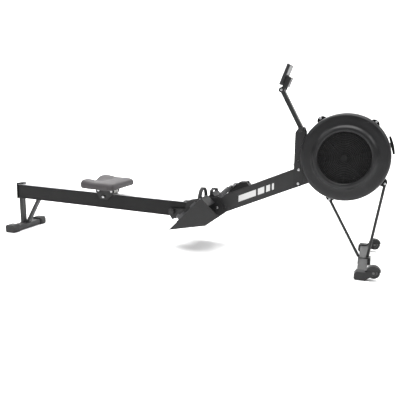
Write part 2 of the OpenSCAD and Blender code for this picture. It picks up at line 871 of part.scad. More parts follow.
// Disc, hub and radial blades
module fan() {
    mid = (fan_y[0] + fan_y[1]) / 2;
    color("#1f1f21") difference() {
        union() {
            bar_y(fly_x, fly_z, fan_r, mid - 1.5, mid + 1.5);
            bar_y(fly_x, fly_z, axle_r + 14, fan_y[0] + 4, fan_y[1] + 2);
            translate([fly_x, 0, fly_z]) for (k = [0:blades - 1]) rotate([0, k * 360 / blades, 0])
                translate([fan_r * 0.42, fan_y[0], -1.2]) cube([fan_r * 0.575, fan_y[1] - fan_y[0], 2.4]);
        }
        bar_y(fly_x, fly_z, axle_r + run_clear, -90, 90);
    }
}

// Sector of the housing's rim left open for the beam's end, the mast and the chain
module frame_way() {
    reach = 2 * cage_r;
    linear_extrude(beam_w + 2 * mast_t + 1, center = true) polygon([
        [0, 0], [reach * cos(way_from), reach * sin(way_from)], [-reach, 0],
        [reach * cos(way_to), reach * sin(way_to)],
    ]);
}

// Half of the housing: rolled rim, flat face and raised ring round the intake
module cover() {
    lip = intake_r;
    color("#232325") on_fly() difference() {
        rotate_extrude($fn = 96) polygon([
            [cage_r, band_half], [cage_r, face_h - 16], [cage_r - 5, face_h - 7],
            [cage_r - 15, face_h - 2], [ring_out, face_h], [ring_out - 6, face_h + 6],
            [ring_out - 16, crest_h - 2], [lip + 12, crest_h], [lip + 5, crest_h - 2],
            [lip, crest_h - 8], [lip, crest_h - 12], [lip + cover_t, crest_h - 12],
            [lip + 12, crest_h - 3.5], [ring_out - 17, crest_h - 5], [ring_out - 8, face_h + 3],
            [ring_out - 1, face_h - cover_t], [cage_r - 16, face_h - 5], [cage_r - 8, face_h - 9.5],
            [cage_r - cover_t, face_h - 17], [cage_r - cover_t, band_half],
        ]);
        frame_way();
    }
}

module cover_right() { cover(); }
module cover_left() { mirror([0, 1, 0]) cover(); }

grille_rings = 10;
grille_z = crest_h - 12;

// Ring grille: concentric wires on six spokes
module grille() {
    first = hub_r + 8;
    step = (intake_r - 3 - first) / grille_rings;
    color("#2a2a2c") on_fly() translate([0, 0, grille_z]) union() {
        cylinder(r = hub_r, h = 5);
        for (k = [0:grille_rings - 1]) difference() {
            cylinder(r = first + k * step + 2, h = 5);
            translate([0, 0, -1]) cylinder(r = first + k * step - 1.5, h = 7);
        }
        difference() {
            cylinder(r = intake_r, h = 4);
            translate([0, 0, -1]) cylinder(r = intake_r - 4, h = 6);
        }
        for (a = [0:60:359]) rotate([0, 0, a + 15]) translate([hub_r - 2, -2.5, 0])
            cube([intake_r - hub_r, 5, 4]);
    }
}

module intake_grille_right() { grille(); }

// The left grille carries the damper's pivot boss
module intake_grille_left() {
    mirror([0, 1, 0]) {
        grille();
        color("#2a2a2c") on_fly() translate([0, 0, grille_z])
            cylinder(r = hub_r - 4, h = damper_h + damper_t + 2 - grille_z);
    }
}

// Perforated band between the two covers
module outlet_band() {
    slots = 40;
    color("#202022") on_fly() difference() {
        cylinder(r = cage_r - 1, h = 2 * band_half, center = true);
        cylinder(r = cage_r - 3, h = 3 * band_half, center = true);
        for (k = [0:slots - 1]) rotate([0, 0, (k + 0.5) * 360 / slots]) translate([cage_r, 0, 0])
            cube([20, 18, 2 * band_half - 14], center = true);
        frame_way();
    }
}

// Rounded lugs on the rim: covers and struts are bolted to them
module rim_lugs() {
    color("#1f1f21") on_fly() for (k = [0:len(lug_angles) - 1]) rotate([0, 0, lug_angles[k]]) {
        reach = cage_r - 1 + lug_reach[k];
        difference() {
            translate([reach - lug_r[k], 0, 0]) cylinder(r = lug_r[k], h = 36, center = true);
            cylinder(r = cage_r - 1, h = 80, center = true, $fn = 256);
            translate([reach - lug_bolt, 0, 0]) cylinder(r = 4, h = 60, center = true);
        }
    }
}

// Shutter disc on the left intake, with its lever over the rim
module damper() {
    half = lever_reach * sin(lever_arc / 2);
    color("#242426") mirror([0, 1, 0]) on_fly() translate([0, 0, damper_h]) difference() {
        union() {
            cylinder(r = intake_r - 6, h = damper_t);
            rotate([0, 0, lever_angle]) intersection() {
                union() {
                    translate([0, -13, 0]) cube([lever_reach, 26, damper_t]);
                    translate([lever_reach - 15, -half, damper_t - paddle_w])
                        cube([15, 2 * half, paddle_w]);
                }
                translate([0, 0, -2 * paddle_w]) cylinder(r = lever_reach, h = 3 * paddle_w);
            }
        }
        translate([0, 0, -1]) cylinder(r = hub_r - 4 + run_clear, h = 10);
        for (a = [0:60:359]) rotate([0, 0, a + lever_angle + 30]) translate([hub_r + 14, -18, -1])
            cube([intake_r - hub_r - 30, 36, 10]);
    }
}

// ---- Front foot ----

rear_strut_top = rim_point(lug_angles[3], cage_r + lug_reach[3] - lug_bolt + 2);
front_strut_top = rim_point(lug_angles[2], cage_r + lug_reach[2] - lug_bolt);

module rear_strut() {
    color("#3a3a3c") difference() {
        bar_xz(rear_strut_top, [front_x - 20, front_bar_h - 8], strut_r);
        on_fly() cylinder(r = cage_r + 6, h = 60, center = true);
        translate([front_x - 100, -50, -60]) cube([200, 100, 60 + front_bar_h]);
    }
}

module front_strut() {
    color("#3a3a3c") difference() {
        bar_xz(front_strut_top, [front_x + front_bar_len / 2 - 3, front_bar_h - 2], strut_r);
        translate([front_x - front_bar_len, -front_bar_len, 0])
            cube([2 * front_bar_len, 2 * front_bar_len, front_bar_h + 0.3]);
    }
}

// Sleeve round the middle of the front foot bar, where both struts end
module strut_socket() {
    color("#262628") translate([front_x, 0, 3]) difference() {
        translate([-front_bar_len / 2 - 4, -24, 0]) cube([front_bar_len + 20, 48, front_bar_h + 1]);
        translate([-front_bar_len / 2, -30, -10]) cube([front_bar_len, 60, front_bar_h + 7]);
    }
}

module front_foot_bar() {
    half = overall_w / 2 - cap_len;
    color("#3f3f41") translate([front_x, 0, 0]) difference() {
        translate([-front_bar_len / 2, -half, 6]) cube([front_bar_len, 2 * half, front_bar_h - 6]);
        translate([-front_bar_len / 2 + leg_wall, -half - 1, 6 + leg_wall])
            cube([front_bar_len - 2 * leg_wall, 2 * half + 2, front_bar_h - 6 - 2 * leg_wall]);
    }
}

// End caps that the front foot stands on, each with an axle fork
module front_foot_caps() {
    wheel_out = caster_y + caster_w / 2;
    wheel_in = caster_y - caster_w / 2;
    edge = overall_w / 2;
    fork = [
        [front_x - 10, 4], [front_x + 20, 4], [caster_x, caster_z - 14],
        [caster_x + 12, caster_z - 6], [caster_x + 12, caster_z + 6], [caster_x, caster_z + 14],
        [front_x + 10, cap_h - 2], [front_x - 10, cap_h - 2],
    ];
    color("#39393b") both_sides() difference() {
        union() {
            slab([
                [front_x - 30, 0], [front_x + 20, 0], [front_x + 23, 12],
                [front_x + 20, cap_h - 6], [front_x + 10, cap_h], [front_x - 26, cap_h],
                [front_x - 36, cap_h - 14], [front_x - 36, 10],
            ], edge - cap_len, edge);
            slab(fork, wheel_out + 1, edge);
            slab(fork, wheel_in - 1 - fork_t, wheel_in - 1);
            intersection() {
                difference() {
                    bar_y(caster_x, caster_z, caster_r + 5, wheel_in - 1 - fork_t, edge);
                    bar_y(caster_x, caster_z, caster_r + 2, wheel_in - 1, wheel_out + 1);
                }
                translate([caster_x - 60, 0, caster_z + 8]) cube([120, overall_w, 60]);
            }
        }
        bar_y(caster_x, caster_z, 6 + run_clear, 0, overall_w);
        bar_y(caster_x, caster_z, caster_r + 2, wheel_in - 1, wheel_out + 1);
    }
}

// Transport wheel with its axle stub
module caster() {
    color("#2f2f31") union() {
        bar_y(caster_x, caster_z, caster_r, caster_y - caster_w / 2, caster_y + caster_w / 2);
        bar_y(caster_x, caster_z, 6, caster_y - caster_w / 2 - 8, overall_w / 2);
    }
}

module caster_left() { caster(); }
module caster_right() { mirror([0, 1, 0]) caster(); }

// ---- Monitor ----

arm_wall = 2.5;
arm_boss = arm_w / 2 + 4;

// Box-section arm with a round boss at each pivot
module monitor_arm() {
    inner = arm_boss + arm_wall;
    half = arm_half - 1;
    color("#2a2a2c") difference() {
        union() {
            translate([arm_x, 0, arm_pivot_z]) rotate([0, -arm_lean, 0])
                translate([-arm_w / 2, -half, 0]) cube([arm_w, 2 * half, arm_len]);
            bar_y(arm_x, arm_pivot_z, arm_w / 2 + 2, -arm_half - 3, arm_half + 3);
            bar_y(arm_top_x, arm_top_z, arm_boss, -arm_half, arm_half);
        }
        translate([arm_x, 0, arm_pivot_z]) rotate([0, -arm_lean, 0])
            translate([-arm_w / 2 + arm_wall, -half + arm_wall, inner])
                cube([arm_w - 2 * arm_wall, 2 * half - 2 * arm_wall, arm_len - 2 * inner]);
        bar_y(arm_x, arm_pivot_z, pivot_bolt_r + run_clear, -2 * arm_half, 2 * arm_half);
        bar_y(arm_top_x, arm_top_z, pivot_bolt_r + run_clear, -2 * arm_half, 2 * arm_half);
    }
}

// Clamp screw through the mast's top, with its knob on the right
module arm_knob() {
    face = beam_w / 2 + mast_t;
    color("#1b1b1c") union() {
        bar_y(arm_x, arm_pivot_z, pivot_bolt_r, -face - 2, face + 1);
        bar_y(arm_x, arm_pivot_z, 8, face + 0.5, face + 5);
        difference() {
            bar_y(arm_x, arm_pivot_z, 13, -face - 17, -face - 1);
            for (a = [0:60:359])
                bar_y(arm_x + 16 * cos(a), arm_pivot_z + 16 * sin(a), 5, -face - 30, -face - 5);
        }
    }
}

button_w = 16;
button_gap = 24;
button_z = case_z + 14;

// Housing with a recess for the screen and holes for the buttons
module monitor_case() {
    half = monitor_w / 2;
    color("#252527") on_monitor() difference() {
        slab([
            [case_x, case_z + 3], [case_x + 3, case_z], [case_x + case_t, case_z + 2],
            [case_x + case_t, case_z + monitor_h - 2], [case_x + 3, case_z + monitor_h],
            [case_x, case_z + monitor_h - 3],
        ], -half, half);
        translate([case_x - 1, -half + 10, button_z + 14])
            cube([1 + screen_t, 2 * half - 20, monitor_h - 40]);
        for (k = [-1:1]) translate([case_x - 1, k * button_gap - button_w / 2 - 0.5, button_z - 5.5])
            cube([5, button_w + 1, 11]);
    }
}

module monitor_screen() {
    half = monitor_w / 2;
    color("#7f8a80") on_monitor() translate([case_x, -half + 10.2, button_z + 14.2])
        cube([screen_t, 2 * half - 20.4, monitor_h - 40.4]);
}

module button(k) {
    color("#55585b") on_monitor() translate([case_x - 2, k * button_gap - button_w / 2, button_z - 5])
        cube([4, button_w, 10]);
}

module button_right() { button(-1); }
module button_middle() { button(0); }
module button_left() { button(1); }

// Battery box, pivot ears and pivot bolt behind the case
module monitor_back() {
    y0 = arm_half + 1;
    x0 = case_x + case_t;
    color("#2a2a2c") on_monitor() union() {
        difference() {
            slab([
                [x0, case_z - 4], [x0 + 29, case_z + 2],
                [x0 + 31, case_z + 56], [x0, case_z + 60],
            ], -30, 30);
            bar_y(0, 0, arm_boss + 3, -y0 - 10, y0 + 10);
        }
        both_sides() slab([
            [-12, 10], [-16, 0], [-12, -12], [0, -16], [12, -12], [16, 0],
            [18, case_z + 8], [x0, case_z + 8], [x0, 10],
        ], y0, y0 + 5);
        both_sides() bar_y(0, 0, 9, y0 + 5, y0 + 8);
        bar_y(0, 0, pivot_bolt_r, -y0 - 1, y0 + 1);
    }
}

// Pale panel screwed to the back of the case over the battery box
module monitor_panel() {
    half = monitor_w / 2 - 5;
    color("#9a9a9b") on_monitor() translate([case_x + case_t, -half, case_z + 62])
        cube([panel_t, 2 * half, monitor_h - 67]);
}

rail();
seat_track();
rail_ends();
rear_leg();
rear_brace();
rear_foot_bar();
rear_foot_caps();
seat_pad();
seat_base();
carriage();
carriage_axles();
top_rollers_rear();
top_rollers_front();
low_rollers();
main_beam();
coupler();
clamp_knob();
foot_tube();
footrest_right();
footrest_left();
toe_plate_right();
toe_plate_left();
toe_strap_right();
toe_strap_left();
handle_hook();
handle_core();
handle_grips();
chain_clevis();
chain_span();
mast();
frame_bolts();
guide_roller();
drive_chain();
sprocket();
axle_plates();
axle();
fan();
cover_right();
cover_left();
intake_grille_right();
intake_grille_left();
outlet_band();
rim_lugs();
damper();
rear_strut();
front_strut();
strut_socket();
front_foot_bar();
front_foot_caps();
caster_right();
caster_left();
monitor_arm();
arm_knob();
monitor_case();
monitor_screen();
button_right();
button_middle();
button_left();
monitor_back();
monitor_panel();
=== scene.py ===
import json
from math import atan2, cos, hypot, pi, radians, sin, sqrt

import bmesh
import bpy
from mathutils import Matrix, Vector


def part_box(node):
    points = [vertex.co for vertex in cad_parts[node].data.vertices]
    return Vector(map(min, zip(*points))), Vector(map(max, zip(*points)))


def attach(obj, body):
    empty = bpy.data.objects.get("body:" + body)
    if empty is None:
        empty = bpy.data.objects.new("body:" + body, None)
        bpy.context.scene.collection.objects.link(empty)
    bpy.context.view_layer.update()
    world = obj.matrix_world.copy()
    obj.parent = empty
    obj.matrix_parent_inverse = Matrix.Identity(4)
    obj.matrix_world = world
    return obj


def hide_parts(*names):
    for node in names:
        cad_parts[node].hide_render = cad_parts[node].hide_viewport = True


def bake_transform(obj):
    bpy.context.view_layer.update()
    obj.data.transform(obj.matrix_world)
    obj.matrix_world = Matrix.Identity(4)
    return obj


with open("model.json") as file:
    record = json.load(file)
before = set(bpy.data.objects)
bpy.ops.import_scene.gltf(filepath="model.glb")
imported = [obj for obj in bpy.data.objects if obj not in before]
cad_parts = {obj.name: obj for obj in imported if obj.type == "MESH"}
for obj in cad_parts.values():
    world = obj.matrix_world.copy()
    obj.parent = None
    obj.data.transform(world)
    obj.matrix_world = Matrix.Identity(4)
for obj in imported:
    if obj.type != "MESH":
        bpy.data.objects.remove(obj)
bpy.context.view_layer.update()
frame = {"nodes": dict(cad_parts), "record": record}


# ---- Room: a wide pale floor and a white studio ----
# The floor is one seamless sheet of pale paper that sweeps up behind the machine. A wide
# ceiling light and two small soft boxes light the machine, and a third lights the paper.

def plain_mesh(name, points, faces):
    """An object from a list of points and a list of faces."""
    mesh = bpy.data.meshes.new(name)
    mesh.from_pydata([tuple(p) for p in points], [], faces)
    mesh.update()
    piece = bpy.data.objects.new(name, mesh)
    bpy.context.scene.collection.objects.link(piece)
    return piece


class Wire:
    """A number that runs through a material, for plain arithmetic."""

    def __init__(self, tree, out):
        self.tree = tree
        self.out = out

    def _math(self, operation, other, swapped=False):
        node = self.tree.nodes.new("ShaderNodeMath")
        node.operation = operation
        pair = [other, self] if swapped else [self, other]
        for socket, value in zip(node.inputs, pair):
            if isinstance(value, Wire):
                self.tree.links.new(value.out, socket)
            else:
                socket.default_value = value
        return Wire(self.tree, node.outputs[0])

    def __add__(self, other):
        return self._math("ADD", other)

    __radd__ = __add__

    def __mul__(self, other):
        return self._math("MULTIPLY", other)

    __rmul__ = __mul__

    def __sub__(self, other):
        return self._math("SUBTRACT", other)

    def __rsub__(self, other):
        return self._math("SUBTRACT", other, True)

    def __truediv__(self, other):
        return self._math("DIVIDE", other)

    def __rtruediv__(self, other):
        return self._math("DIVIDE", other, True)


class Finish:
    """A material: one Principled surface, and the nodes that feed it."""

    def __init__(self, name):
        self.material = bpy.data.materials.new(name)
        self.material.use_nodes = True
        self.tree = self.material.node_tree
        self.surface = self.tree.nodes["Principled BSDF"]
        self.place = self.node("ShaderNodeTexCoord", out="Object")

    def node(self, kind, settings=None, values=None, out=0):
        node = self.tree.nodes.new(kind)
        for name, value in (settings or {}).items():
            setattr(node, name, value)
        for name, value in (values or {}).items():
            self.feed(node.inputs[name], value)
        return Wire(self.tree, node.outputs[out])

    def feed(self, socket, value):
        if isinstance(value, Wire):
            self.tree.links.new(value.out, socket)
        else:
            socket.default_value = value

    def noise(self, scale, detail=3.0, place=None):
        return self.node("ShaderNodeTexNoise", None, {
            "Vector": place or self.place, "Scale": scale, "Detail": detail, "Roughness": 0.55})

    def stretched(self, x, y, z):
        return self.node("ShaderNodeVectorMath", {"operation": "MULTIPLY"},
            {0: self.place, 1: (x, y, z)})

    def blend_colours(self, share, low, high):
        return self.node("ShaderNodeMix", {"data_type": "RGBA"}, {
            0: share, 6: (*low, 1.0), 7: (*high, 1.0)}, out=2)

    def bump(self, height, depth, strength=0.6):
        return self.node("ShaderNodeBump", None, {
            "Height": height, "Distance": depth, "Strength": strength})

    def use(self, **values):
        for name, value in values.items():
            self.feed(self.surface.inputs[name.replace("_", " ")], value)
        return self.material


def grained(name, colour, rough, grain=700.0, depth=0.0001, drift=0.14, specular=0.4, metal=0.0,
    coat=0.0):
    """Painted, moulded or anodised skin: even colour, a fine grain and slow changes of sheen."""
    look = Finish(name)
    broad = look.noise(5.0, 4.0)
    fine = look.noise(grain, 2.0)
    tint = look.blend_colours(broad, [c * (1 - drift) for c in colour],
        [c * (1 + drift) for c in colour])
    sheen = rough + (broad - 0.5) * 0.12 + (fine - 0.5) * 0.10
    material = look.use(Base_Color=tint, Roughness=sheen, Metallic=metal, Coat_Weight=coat,
                        Normal=look.bump(fine, depth))
    look.surface.inputs["Specular IOR Level"].default_value = specular
    return material


sweep = [(-9.0, 0.0), (4.6, 0.0)]
sweep += [(4.6 + 1.8 * sin(radians(a)), 1.8 - 1.8 * cos(radians(a))) for a in range(6, 90, 6)]
sweep += [(6.4, 1.8), (6.4, 9.0)]
floor_points = [(x, y, z) for x in (-16.0, 16.0) for y, z in sweep]
floor_faces = [(k, k + 1, k + 1 + len(sweep), k + len(sweep)) for k in range(len(sweep) - 1)]
floor = plain_mesh("studio_floor", floor_points, floor_faces)
for face in floor.data.polygons:
    face.use_smooth = True
floor.data.materials.append(grained("pale_paper", (0.90, 0.90, 0.90), 0.9, 60.0, 0.0003, 0.01, 0.1))

world = bpy.data.worlds.new("white_studio")
world.use_nodes = True
world.node_tree.nodes["Background"].inputs["Color"].default_value = (1.0, 1.0, 1.0, 1.0)
world.node_tree.nodes["Background"].inputs["Strength"].default_value = 0.30
bpy.context.scene.world = world
bpy.context.scene.view_settings.view_transform = "Standard"

sky = bpy.data.lights.new("ceiling_light", "SUN")
sky.energy = 3.3
sky.angle = radians(50)
ceiling = bpy.data.objects.new("ceiling_light", sky)
ceiling.rotation_euler = Vector((0.10, -0.16, 1.0)).to_track_quat("Z", "Y").to_euler()
bpy.context.scene.collection.objects.link(ceiling)


def lamp(name, place, aim, width, power):
    """A square soft box that points at a spot."""
    light = bpy.data.lights.new(name, "AREA")
    light.shape = "SQUARE"
    light.size = width
    light.energy = power
    box = bpy.data.objects.new(name, light)
    box.location = place
    box.rotation_euler = (Vector(aim) - Vector(place)).to_track_quat("-Z", "Y").to_euler()
    bpy.context.scene.collection.objects.link(box)


lamp("backdrop_lamp", (-3.0, 2.2, 6.5), (-3.0, 6.4, 1.4), 6.0, 900.0)
lamp("left_lamp", (-1.4, -2.6, 2.6), (0.6, 0.0, 0.5), 1.2, 26.0)
lamp("right_lamp", (3.2, -0.6, 2.2), (0.9, 0.0, 0.6), 1.0, 22.0)

yaw, pitch, roll = radians(20.096), radians(10.647), radians(0.381)
ahead = Vector((-sin(yaw) * cos(pitch), cos(yaw) * cos(pitch), -sin(pitch)))
right = Vector((cos(yaw), sin(yaw), 0.0))
up = right.cross(ahead)
across = cos(roll) * right + sin(roll) * up
upward = -sin(roll) * right + cos(roll) * up
lens = bpy.data.cameras.new("studio_camera")
lens.lens = 43.34
lens.sensor_width = 36.0
camera = bpy.data.objects.new("studio_camera", lens)
turn = Matrix((across, upward, -ahead)).transposed()
camera.matrix_world = Matrix.Translation((1.1329, -2.7161, 0.8351)) @ turn.to_4x4()
bpy.context.scene.collection.objects.link(camera)
bpy.context.scene.camera = camera


# ---- Rail ----
# A long extruded aluminium section, anodised satin black, with lips along its top
# for the seat's lower rollers. It hangs from the coupler and stands on the rear leg.

home = {node: body for body,
    nodes in frame["record"]["behaviour"]["bodies"].items() for node in nodes}


def settled(piece):
    """The piece with its modifiers worked into its mesh."""
    graph = bpy.context.evaluated_depsgraph_get()
    mesh = bpy.data.meshes.new_from_object(
        piece.evaluated_get(graph), preserve_all_data_layers=True, depsgraph=graph)
    piece.modifiers.clear()
    piece.data = mesh
    return piece


def fitted(piece, body, material, nodes=(), angle=35.0):
    """Faces turned outward, smooth where curved, coloured, and fixed to its body."""
    shell = bmesh.new()
    shell.from_mesh(piece.data)
    bmesh.ops.recalc_face_normals(shell, faces=shell.faces)
    for face in shell.faces:
        face.smooth = True
    shell.to_mesh(piece.data)
    shell.free()
    piece.data.set_sharp_from_angle(angle=radians(angle))
    if material:
        piece.data.materials.clear()
        piece.data.materials.append(material)
    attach(piece, body)
    if nodes:
        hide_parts(*nodes)
    return piece


def edges_broken(piece, width, steps=2, angle=32.0):
    """A small round worked along every sharp edge."""
    edge = piece.modifiers.new("edge", "BEVEL")
    edge.width = width
    edge.segments = steps
    edge.limit_method = "ANGLE"
    edge.angle_limit = radians(angle)
    edge.harden_normals = False
    even = piece.modifiers.new("even", "WEIGHTED_NORMAL")
    even.keep_sharp = True
    for face in piece.data.polygons:
        face.use_smooth = True
    return settled(piece)


def worked(node, width, material, steps=2, angle=32.0):
    """A merged copy of a CAD node with its edges broken, which stands for it."""
    mesh = frame["nodes"][node].data.copy()
    shell = bmesh.new()
    shell.from_mesh(mesh)
    bmesh.ops.remove_doubles(shell, verts=shell.verts, dist=1e-5)
    bmesh.ops.dissolve_limit(shell, angle_limit=radians(0.4), verts=shell.verts, edges=shell.edges)
    shell.to_mesh(mesh)
    shell.free()
    piece = bpy.data.objects.new(node + "_skin", mesh)
    bpy.context.scene.collection.objects.link(piece)
    edges_broken(piece, width, steps, angle)
    piece.data.materials.clear()
    piece.data.materials.append(material)
    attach(piece, home[node])
    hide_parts(node)
    return piece


rail_black = grained("anodised_rail", (0.008, 0.008, 0.0084), 0.46, 420.0, 0.00003, 0.10, 0.22)
worked("rail", 0.0009, rail_black)


# ---- Seat track ----
# A strip of stainless steel clipped over the rail's top. It is brushed lengthwise,
# and the seat's rollers have polished two lines into it.

steel = Finish("brushed_track")
brushed = steel.noise(60.0, 3.0, steel.stretched(0.6, 30.0, 1.0))
scratches = steel.noise(220.0, 2.0, steel.stretched(0.15, 12.0, 1.0))
side = steel.node("ShaderNodeSeparateXYZ", None, {"Vector": steel.place}, out="Y")
from_line = side._math("ABSOLUTE", 0.0) - 0.015
worn = steel.node("ShaderNodeMapRange", {"interpolation_type": "SMOOTHSTEP"}, {
    "Value": from_line._math("ABSOLUTE", 0.0), "From Min": 0.004, "From Max": 0.011, "To Min": 1.0,
    "To Max": 0.0})
steel_tint = steel.blend_colours(brushed, (0.46, 0.46, 0.47), (0.62, 0.62, 0.63))
track_steel = steel.use(
    Base_Color=steel_tint, Metallic=1.0, Roughness=0.40 + (brushed - 0.5) * 0.2 - worn * 0.14,
    Normal=steel.bump(scratches, 0.00004, 0.5))
worked("seat_track", 0.0004, track_steel)


# ---- Rail end caps ----
# Moulded nylon: the rear one has a raised lip that stops the seat, and the front
# one carries a low rubber bumper. Each is held with a recessed screw.

black_nylon = grained("black_nylon", (0.0055, 0.0055, 0.0058), 0.46, 900.0, 0.00008, 0.15, 0.20)
worked("rail_ends", 0.0025, black_nylon, 3)


def round_bolt(points, faces, centre, out, radius, height):
    """Adds a button head with a hexagon socket, standing out from a face."""
    out = Vector(out).normalized()
    side_a = out.orthogonal().normalized()
    side_b = out.cross(side_a)
    steps = 24
    rings = []
    profile = [(1.0, 0.0), (1.0, 0.35), (0.93, 0.72), (0.74, 0.96), (0.52, 1.0)]
    for share, rise in profile:
        rings.append([Vector(centre) + out * height * rise
                      + radius * share * (cos(a) * side_a + sin(a) * side_b)
                      for a in [2 * pi * k / steps for k in range(steps)]])
    for depth in (1.0, 0.42):
        ring = []
        for k in range(steps):
            a = 2 * pi * k / steps
            corner = cos(pi / 6) / cos((a % (pi / 3)) - pi / 6)
            ring.append(Vector(centre) + out * height * depth
                        + 0.44 * radius * corner * (cos(a) * side_a + sin(a) * side_b))
        rings.append(ring)
    first = len(points)
    for ring in rings:
        points.extend(ring)
    for level in range(len(rings) - 1):
        for k in range(steps):
            a = first + level * steps + k
            b = first + level * steps + (k + 1) % steps
            faces.append((a, b, b + steps, a + steps))
    faces.append(tuple(first + (len(rings) - 1) * steps + k for k in range(steps)))
    faces.append(tuple(first + k for k in reversed(range(steps))))


def bolts(name, body, material, places, nodes=()):
    """One mesh of bolt heads: each place is a centre, a direction, a radius and a height."""
    points, faces = [], []
    for centre, out, radius, height in places:
        round_bolt(points, faces, centre, out, radius, height)
    return fitted(plain_mesh(name, points, faces), body, material, nodes, 30.0)


zinc = Finish("zinc_bolt")
dull = zinc.noise(60.0, 4.0)
spots = zinc.noise(500.0, 2.0)
bolt_steel = zinc.use(
    Base_Color=zinc.blend_colours(dull, (0.40, 0.40, 0.41), (0.60, 0.60, 0.61)), Metallic=1.0,
    Roughness=0.34 + (dull - 0.5) * 0.2, Normal=zinc.bump(spots, 0.00003, 0.4))

rail_tilt = radians(1.6)
rail_rear = Vector((-1.211, 0.0, 0.312))


def tipped(origin, angle, x, y, z):
    """A point in a frame whose length is tipped upwards by an angle about its origin."""
    return origin + Vector((x * cos(angle) - z * sin(angle), y, x * sin(angle) + z * cos(angle)))


def on_rail(x, y, z):
    """A point measured along, across and over the rail from its rear end."""
    return tipped(rail_rear, -rail_tilt, x, y, z)


bolts("rail_cap_screws", "rail", bolt_steel, [
    (on_rail(-0.008, 0.0, -0.030), (-1, 0, 0), 0.0060, 0.0024),
    (on_rail(-0.008, 0.0, -0.072), (-1, 0, 0), 0.0060, 0.0024),
])


# ---- Rear leg and brace ----
# Square steel tube, powder coated dark grey, welded under the rail's rear end, with
# a flatter tube slanting back down to the foot. A weld bead runs round the leg's foot.

leg_grey = grained("leg_powder_coat", (0.015, 0.015, 0.0155), 0.5, 620.0, 0.00012, 0.10, 0.4)
worked("rear_leg", 0.0022, leg_grey, 3)
worked("rear_brace", 0.0022, leg_grey, 3)
worked("rear_foot_bar", 0.0070, leg_grey, 4)


def weld(name, corners, body, material, radius=0.0022):
    """A rippled bead along a closed line of corners."""
    points, faces = [], []
    line = []
    for a, b in zip(corners, corners[1:] + corners[:1]):
        a, b = Vector(a), Vector(b)
        steps = max(2, int((b - a).length / 0.0016))
        line += [a.lerp(b, k / steps) for k in range(steps)]
    sides = 6
    count = len(line)
    for k, centre in enumerate(line):
        along = (line[(k + 1) % count] - line[k - 1]).normalized()
        normal = along.orthogonal().normalized()
        other = along.cross(normal)
        fat = radius * (1.0 + 0.22 * sin(k * 2.1))
        points += [centre + fat * (cos(a) * normal + sin(a) * other)
                   for a in [2 * pi * j / sides for j in range(sides)]]
    for k in range(count):
        if (points[k * sides] - points[((k + 1) % count) * sides]).length > 0.006:
            continue
        for j in range(sides):
            a, b = k * sides + j, k * sides + (j + 1) % sides
            c, d = ((k + 1) % count) * sides + j, ((k + 1) % count) * sides + (j + 1) % sides
            faces.append((a, b, d, c))
    return fitted(plain_mesh(name, points, faces), body, material)


leg_low, leg_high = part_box("rear_leg")
foot_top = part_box("rear_foot_bar")[1].z
weld("rear_leg_weld", [
    (leg_low.x, leg_low.y, foot_top), (leg_high.x, leg_low.y, foot_top),
    (leg_high.x, leg_high.y, foot_top), (leg_low.x, leg_high.y, foot_top),
], "rail", leg_grey)


# ---- Rear foot caps ----
# Blunt plastic end caps pushed over the foot bar, the only pieces that touch the
# floor at this end. Their grain is coarser than the tube's paint.

cap_plastic = grained("cap_plastic", (0.018, 0.018, 0.0185), 0.62, 480.0, 0.00022, 0.12, 0.35)
worked("rear_foot_caps", 0.0055, cap_plastic, 4)


# ---- Seat pad ----
# Moulded foam under a matt skin: two raised lobes at the rear with a valley between
# them, two shallow hollows for the sitter, and a parting line round the side.

carriage_home = 0.704
seat_home = carriage_home + 0.003
pad_low = 0.0453
pad_half_x, pad_half_y = 0.1185, 0.1585
corner = 0.034


def pad_outline(steps=160):
    """Round-cornered plan of the pad."""
    line = []
    inner_x, inner_y = pad_half_x - corner, pad_half_y - corner
    centres = [(inner_x, inner_y, 0), (-inner_x, inner_y, 90), (-inner_x, -inner_y, 180),
        (inner_x, -inner_y, 270)]
    for cx, cy, start in centres:
        for k in range(steps // 8):
            a = radians(start + 90.0 * k / (steps // 8))
            line.append((cx + corner * cos(a), cy + corner * sin(a)))
        a = radians(start + 90.0)
        nx, ny = cx + corner * cos(a), cy + corner * sin(a)
        index = centres.index((cx, cy, start))
        tx, ty, ts = centres[(index + 1) % 4]
        ex, ey = tx + corner * cos(radians(ts)), ty + corner * sin(radians(ts))
        for k in range(steps // 8):
            t = k / (steps // 8)
            line.append((nx + (ex - nx) * t, ny + (ey - ny) * t))
    return line


def soft_step(t):
    t = min(1.0, max(0.0, t))
    return t * t * (3 - 2 * t)


def pad_height(x, y):
    """Height of the pad's top over its underside."""
    back = soft_step((-x / pad_half_x - 0.05) / 0.75)
    height = 0.0445 + 0.0095 * back
    height -= 0.0055 * soft_step((x / pad_half_x - 0.62) / 0.38)
    height -= 0.0070 * soft_step((-x / pad_half_x - 0.86) / 0.14)
    valley = soft_step(1.0 - (x + pad_half_x) / 0.165)
    height -= 0.0270 * valley * soft_step(1.0 - abs(y) / 0.092)
    for lobe in (-1, 1):
        far = hypot((x + 0.022) / 0.060, (y - lobe * 0.068) / 0.055)
        height -= 0.0050 * soft_step(1.0 - far)
    return height


